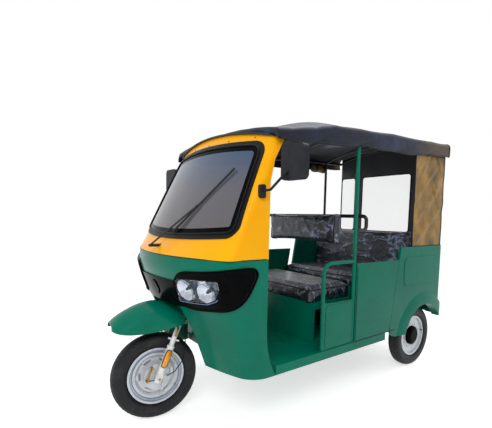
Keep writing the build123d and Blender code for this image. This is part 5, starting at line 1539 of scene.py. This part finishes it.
@dataclass
class Curtains:
    """Left curtain hung in folds, rear curtain with its clear lights, and the rolled right one."""

    left_x: float = 0.5807
    left_span: tuple[float, float] = (1.814, 2.268)
    creases: tuple[tuple[float, float, float, float, float, float], ...] = (
        (0.02, 0.02, 0.95, 0.44, 0.012, 0.07), (0.06, 0.5, 0.75, 0.86, 0.009, 0.05),
        (0.1, 0.8, 0.5, 0.99, 0.007, 0.04), (0.55, 0.7, 0.85, 0.42, 0.006, 0.035),
        (0.45, 0.98, 0.2, 0.7, 0.006, 0.04), (0.3, 0.3, 0.98, 0.75, 0.005, 0.06),
        (0.05, 0.25, 0.4, 0.42, 0.005, 0.045), (0.7, 0.98, 0.9, 0.8, 0.006, 0.04),
    )
    foot: float = 1.016
    rear_at: float = 2.282
    rear_half: float = 0.549
    lights: tuple[tuple[float, float], ...] = ((0.0, 0.54), (0.45, 0.18), (-0.45, 0.18))
    light_level: float = 1.380
    light_height: float = 0.54
    light_corner: float = 0.03
    roof: Roof = field(default_factory=Roof)

    def creased(self, along: float, share: float) -> float:
        """How far the left curtain stands out at a place, from its long slanting creases."""
        total = 0.0
        for ax, az, bx, bz, height, width in self.creases:
            dx, dz = bx - ax, (bz - az) * 1.65
            length = math.hypot(dx, dz)
            px, pz = along - ax, (share - az) * 1.65
            run = (px * dx + pz * dz) / length ** 2
            off = (px * dz - pz * dx) / length
            if -0.2 < run < 1.2:
                hold = math.sin(math.pi * min(max((run + 0.2) / 1.4, 0.0), 1.0))
                total += height * hold * (math.exp(-((off / width) ** 2)) - 0.5 * math.exp(-(((off - 1.8 * width) / width) ** 2)))
        return total

    def left(self, shop: Workshop) -> None:
        """Hang the left curtain with slanting folds."""
        rows = []
        start, end = self.left_span
        for step in range(91):
            share = step / 90
            row = []
            for index in range(64):
                along = index / 63
                distance = start + (end - start) * along
                top = 1.757 + 0.038 * along
                level = self.foot + (top - self.foot) * share
                fold = self.creased(along, share)
                ruck = noise.noise(Vector((distance * 9.0, level * 5.0, 5.0))) * 0.0025
                hold = min(1.0, 12.0 * min(share, 1.0 - share) + 0.25)
                row.append(Vector((self.left_x + (fold + ruck) * hold, aft(distance), level)))
            rows.append(row)
        sheet = shop.add("curtain_left_cloth", grid_mesh("curtain_left_cloth", rows), Paint.SIDE_CANVAS)
        thick = sheet.modifiers.new("cloth_thickness", "SOLIDIFY")
        thick.thickness = mm(1.5)
        thick.offset = 0.0
        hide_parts("curtain_left")
        bindings = [
            tube("binding", [row[0] for row in rows[::3]], 0.0065, 8),
            tube("binding", [row[-1] for row in rows[::3]], 0.005, 8),
            tube("binding", rows[0][::3], 0.005, 8),
        ]
        binding = shop.add("curtain_left_binding", joined("curtain_left_binding", bindings), Paint.BINDING)

    def light_outline(self, middle: float, width: float, grow: float = 0.0, steps: int = 10) -> list[Vector]:
        """Rounded outline of one clear light."""
        half_w, half_h = width / 2 + grow, self.light_height / 2 + grow
        corner = self.light_corner + grow
        path = []
        for quarter, (sx, sz) in enumerate(((1, 1), (-1, 1), (-1, -1), (1, -1))):
            for step in range(steps + 1):
                turn = math.radians(90.0 * (quarter + step / steps))
                path.append(Vector((
                    middle + sx * (half_w - corner) + corner * math.cos(turn), aft(self.rear_at),
                    self.light_level + sz * (half_h - corner) + corner * math.sin(turn),
                )))
        return path

    def rear_wave(self, x: float, z: float) -> float:
        """How far the rear curtain stands off its plane."""
        return 0.003 * noise.noise(Vector((x * 5.0, z * 2.0, 3.0))) + 0.0015 * math.sin(x * 23.0 + z * 5.0)

    def rear(self, shop: Workshop) -> None:
        """Hang the rear curtain and sew the lights in."""
        ring = [p for p in self.roof.ring(self.rear_at, 0.013) if p.z > 1.79]
        rows = []
        columns = [-self.rear_half + 2 * self.rear_half * i / 150 for i in range(151)]

        def top(x: float) -> float:
            near = sorted(ring, key=lambda p: abs(p.x - x))[:2]
            gap = near[1].x - near[0].x
            share = (x - near[0].x) / gap if abs(gap) > 1e-6 else 0.0
            return near[0].z + (near[1].z - near[0].z) * max(0.0, min(1.0, share))

        tops = [top(x) - 0.002 for x in columns]
        for step in range(111):
            share = step / 110
            rows.append([
                Vector((x, aft(self.rear_at) + self.rear_wave(x, self.foot + (t - self.foot) * share), self.foot + (t - self.foot) * share))
                for x, t in zip(columns, tops)
            ])

        def keep(row: int, col: int) -> bool:
            middle = (rows[row][col] + rows[row + 1][col + 1]) / 2
            for centre, width in self.lights:
                dx = abs(middle.x - centre) - (width / 2 - self.light_corner)
                dz = abs(middle.z - self.light_level) - (self.light_height / 2 - self.light_corner)
                if math.hypot(max(dx, 0.0), max(dz, 0.0)) < self.light_corner:
                    return False
            return True

        sheet = shop.add("curtain_rear_cloth", grid_mesh("curtain_rear_cloth", rows, keep), Paint.SIDE_CANVAS)
        thick = sheet.modifiers.new("cloth_thickness", "SOLIDIFY")
        thick.thickness = mm(1.5)
        thick.offset = 0.0
        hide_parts("curtain_rear")
        bindings, clears = [], []
        for centre, width in self.lights:
            outline = self.light_outline(centre, width)
            bindings.append(tube("binding", [p + Vector((0, self.rear_wave(p.x, p.z), 0)) for p in outline], 0.0055, 8, closed=True))
            low_x, high_x = centre - width / 2 - 0.004, centre + width / 2 + 0.004
            low_z, high_z = self.light_level - self.light_height / 2, self.light_level + self.light_height / 2
            cells = [
                [
                    Vector((low_x + (high_x - low_x) * i / 24, 0.0, low_z + (high_z - low_z) * j / 40))
                    for i in range(25)
                ]
                for j in range(41)
            ]
            for line in cells:
                for point in line:
                    point.y = aft(self.rear_at) + self.rear_wave(point.x, point.z)
            clears.append(grid_mesh("light", cells))
        binding = shop.add("curtain_rear_binding", joined("curtain_rear_binding", bindings), Paint.BINDING)
        lights = shop.add("curtain_rear_lights", joined("curtain_rear_lights", clears), Paint.LIGHT)

    def build(self, shop: Workshop) -> None:
        """Hang every curtain and strap up the rolled one."""
        self.left(shop)
        self.rear(shop)
        shop.dress(Paint.SIDE_CANVAS, "curtain_roll_right")
        low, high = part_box("curtain_roll_right")
        straps = []
        for share in (0.18, 0.82):
            distance = low[1] + (high[1] - low[1]) * share
            centre = Vector(((low[0] + high[0]) / 2, distance, (low[2] + high[2]) / 2))
            reach = min(high[0] - low[0], high[2] - low[2]) / 2 + 0.0015
            rows = [(reach, -0.012), (reach + 0.002, -0.012), (reach + 0.002, 0.012), (reach, 0.012)]
            straps.append(lathe("straps", rows, centre, (0, 1, 0), 40))
        shop.add("curtain_straps", joined("curtain_straps", straps), Paint.BINDING)


class Probe:
    """Finds where a line meets a CAD node."""

    def __init__(self, frame: dict[str, Any]) -> None:
        """Start with no node looked into."""
        self.frame = frame
        self.trees: dict[str, BVHTree] = {}

    def hit(self, node: str, origin: Sequence[float], ahead: Sequence[float]) -> tuple[Vector, Vector] | None:
        """The first place on the node along the line and the way its face looks."""
        if node not in self.trees:
            piece = self.frame["nodes"][node]
            points = [piece.matrix_world @ vert.co for vert in piece.data.vertices]
            faces = [tuple(face.vertices) for face in piece.data.polygons]
            self.trees[node] = BVHTree.FromPolygons(points, faces)
        place, normal, _, _ = self.trees[node].ray_cast(Vector(origin), Vector(ahead).normalized())
        if place is None:
            return None
        if normal.dot(Vector(ahead)) > 0:
            normal = -normal
        return place, normal


@dataclass
class Trim:
    """Bolts, mirror glass, seams, screen clips and the other small parts of the body."""

    brow_x: tuple[float, ...] = (-0.42, -0.21, 0.0, 0.21, 0.42)
    brow_level: float = 1.655
    side_bolts: tuple[tuple[str, float, float], ...] = (
        ("side_panel", 1.33, 0.86), ("side_panel", 1.33, 0.45), ("side_panel", 1.66, 0.45),
        ("entry_panel", 0.98, 0.62), ("entry_panel", 0.98, 0.45),
    )

    def bolts(self, shop: Workshop, probe: Probe) -> None:
        """Bolt the brow and the side panels."""
        dark: list[tuple[Sequence[float], Sequence[float]]] = []
        brow: list[tuple[Sequence[float], Sequence[float]]] = []
        for x in self.brow_x:
            found = probe.hit("cab_upper", (x, aft(-1.0), self.brow_level), (0.0, 1.0, 0.0))
            if found:
                brow.append(found)
        shop.add("brow_bolts", bolt_heads("brow_bolts", brow, 4.0), Paint.BLACK_STEEL)
        for sign, side in ((1.0, "left"), (-1.0, "right")):
            for kind, distance, level in self.side_bolts:
                node = f"{kind}_{side}" if f"{kind}_{side}" in shop.frame["nodes"] else f"entry_frame_{side}"
                found = probe.hit(node, (sign * 1.5, aft(distance), level), (-sign, 0.0, 0.0))
                if found and abs(found[0].x) > 0.5:
                    dark.append(found)
            for distance, level in ((1.126, 1.30), (1.126, 1.20), (1.126, 0.98)):
                found = probe.hit(f"entry_frame_{side}", (sign * 1.5, aft(distance), level), (-sign, 0.0, 0.0))
                if found and abs(found[0].x) > 0.5:
                    dark.append(found)
        shop.add("panel_bolts", bolt_heads("panel_bolts", dark, 3.4), Paint.GREEN)

    def mirror_glass(self, shop: Workshop, probe: Probe) -> None:
        """Set the glass into the back of each mirror."""
        plates = []
        for sign in (1.0, -1.0):
            found = probe.hit("mirrors", (sign * 0.726, aft(1.0), 1.49), (0.0, -1.0, 0.0))
            if not found:
                continue
            centre, normal = found
            across = Vector((0.0, 0.0, 1.0)).cross(normal).normalized()
            upright = normal.cross(across)
            outline = []
            for step in range(48):
                turn = math.tau * step / 48
                x = math.copysign(abs(math.cos(turn)) ** 0.35, math.cos(turn)) * 0.072
                z = math.copysign(abs(math.sin(turn)) ** 0.35, math.sin(turn)) * 0.074
                outline.append(centre + across * x + upright * z + normal * 0.0012)
            plates.append(mesh_of("glass", outline, [tuple(range(48))]))
        if plates:
            shop.add("mirror_glass", joined("mirror_glass", plates), Paint.MIRROR, smooth=False)

    def seams(self, shop: Workshop, probe: Probe) -> None:
        """Draw the joint under the yellow panel and the gaps round the side panels."""
        path = []
        for step in range(121):
            turn = math.radians(-180.0 + 180.0 * step / 120)
            out = Vector((math.cos(turn), math.sin(turn), 0.0))
            found = probe.hit("cab_lower", Vector((0.0, -0.56, 0.984)) + out * 1.4, -out)
            if found and found[0].y < -0.59:
                path.append(Vector((found[0].x, found[0].y, 0.9897)) + Vector((found[1].x, found[1].y, 0.0)) * 0.0005)
        lines = [tube("seam", path, 0.0024, 8)]
        for sign in (1.0, -1.0):
            x = sign * 0.5915
            lines.append(tube("seam", [(x, aft(1.147), 0.392), (x, aft(1.62), 0.392)], 0.0022, 8))
            lines.append(tube("seam", [(x, aft(1.147), 0.392), (x, aft(1.147), 0.90)], 0.0022, 8))
        shop.add("panel_seams", joined("panel_seams", lines), Paint.SEAL)

    def hang_flap_and_shade(self, shop: Workshop) -> None:
        """Hang a black splash flap behind the front wheel, wide enough that it also stands in for the shade under the
        body there, a painted shade.
        """
        rows = []
        for step in range(25):
            share = step / 24
            rows.append([
                Vector((-0.34 + 0.68 * i / 32, aft(0.372 + 0.05 * share ** 2) + 0.01 * math.cos(i * 0.9), 0.70 - 0.37 * share))
                for i in range(33)
            ])
        # The black spans the whole gap under the body: partly a real flap, partly painted shade.
        flap = shop.add("splash_flap_and_shade", grid_mesh("splash_flap_and_shade", rows), Paint.SEAL)
        thick = flap.modifiers.new("flap_thickness", "SOLIDIFY")
        thick.thickness = mm(4.0)

    def clips(self, shop: Workshop) -> None:
        """Press the pale clips in along the top of the screen."""
        ahead = Vector((0.0, -1.0, 0.2)).normalized()
        loop = front_loop(shop.frame["nodes"]["windscreen_glass"], ahead)
        middle = sum((point for point, _ in loop), Vector()) / len(loop)
        places = []
        for look in (Vector((0.8, 0.0, 1.0)), Vector((-0.8, 0.0, 1.0)), Vector((0.0, 0.0, 1.0))):
            point, normal = max(loop, key=lambda row: (row[0] - middle).dot(look))
            inwards = (middle - point).normalized()
            places.append((point + inwards * 0.045 + normal * 0.001, normal))
        shop.add("screen_clips", bolt_heads("screen_clips", places, 4.5), Paint.WHITE)

    def build(self, shop: Workshop) -> None:
        """Make every small part."""
        probe = Probe(shop.frame)
        self.bolts(shop, probe)
        self.mirror_glass(shop, probe)
        self.seams(shop, probe)
        self.hang_flap_and_shade(shop)
        self.clips(shop)


DRESSED: tuple[tuple[Paint, tuple[str, ...]], ...] = (
    (Paint.GREEN, (
        "cab_lower", "side_panel", "rear_quarter", "entry_frame", "floor_pan", "fender_front", "wheel_well",
        "tail_panel", "driver_seat_box", "rear_seat_box",
    )),
    (Paint.YELLOW, ("cab_upper",)),
    (Paint.GLOSS_BLACK, ("lamp_surround", "nose_disc")),
    (Paint.GREY_PLASTIC, ("mirrors", "dashboard")),
    (Paint.SEAL, ("windscreen_seal", "brake_cable")),
    (Paint.BLACK_STEEL, ("wiper", "roof_frame", "backrest_frame", "handlebar", "chassis_frame", "leaf_springs", "rear_axle", "battery_block", "motor_block")),
    (Paint.SILVER, ("rim_rear", "rim_front", "brake_plate")),
    (Paint.WHITE, ("fork",)),
    (Paint.RED, ("tail_lamps",)),
    (Paint.CANVAS, ("cab_cover",)),
)


def main() -> None:
    """Load the frame, dress it and build the soft and fine pieces around it."""
    logging.basicConfig(level=logging.INFO, format="%(message)s")
    random.seed(7)
    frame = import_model()
    Studio().build()
    shop = Workshop(frame)
    for paint, starts in DRESSED:
        names = [name for name in frame["nodes"] if name.startswith(starts)]
        shop.dress(paint, *names)
    for assembly in (Wheels(), ForkTrim(), Lamps(), LampSurround(), Screen(), Seats(), Roof(), Curtains(), Trim()):
        assembly.build(shop)


if __name__ == "__main__":
    main()
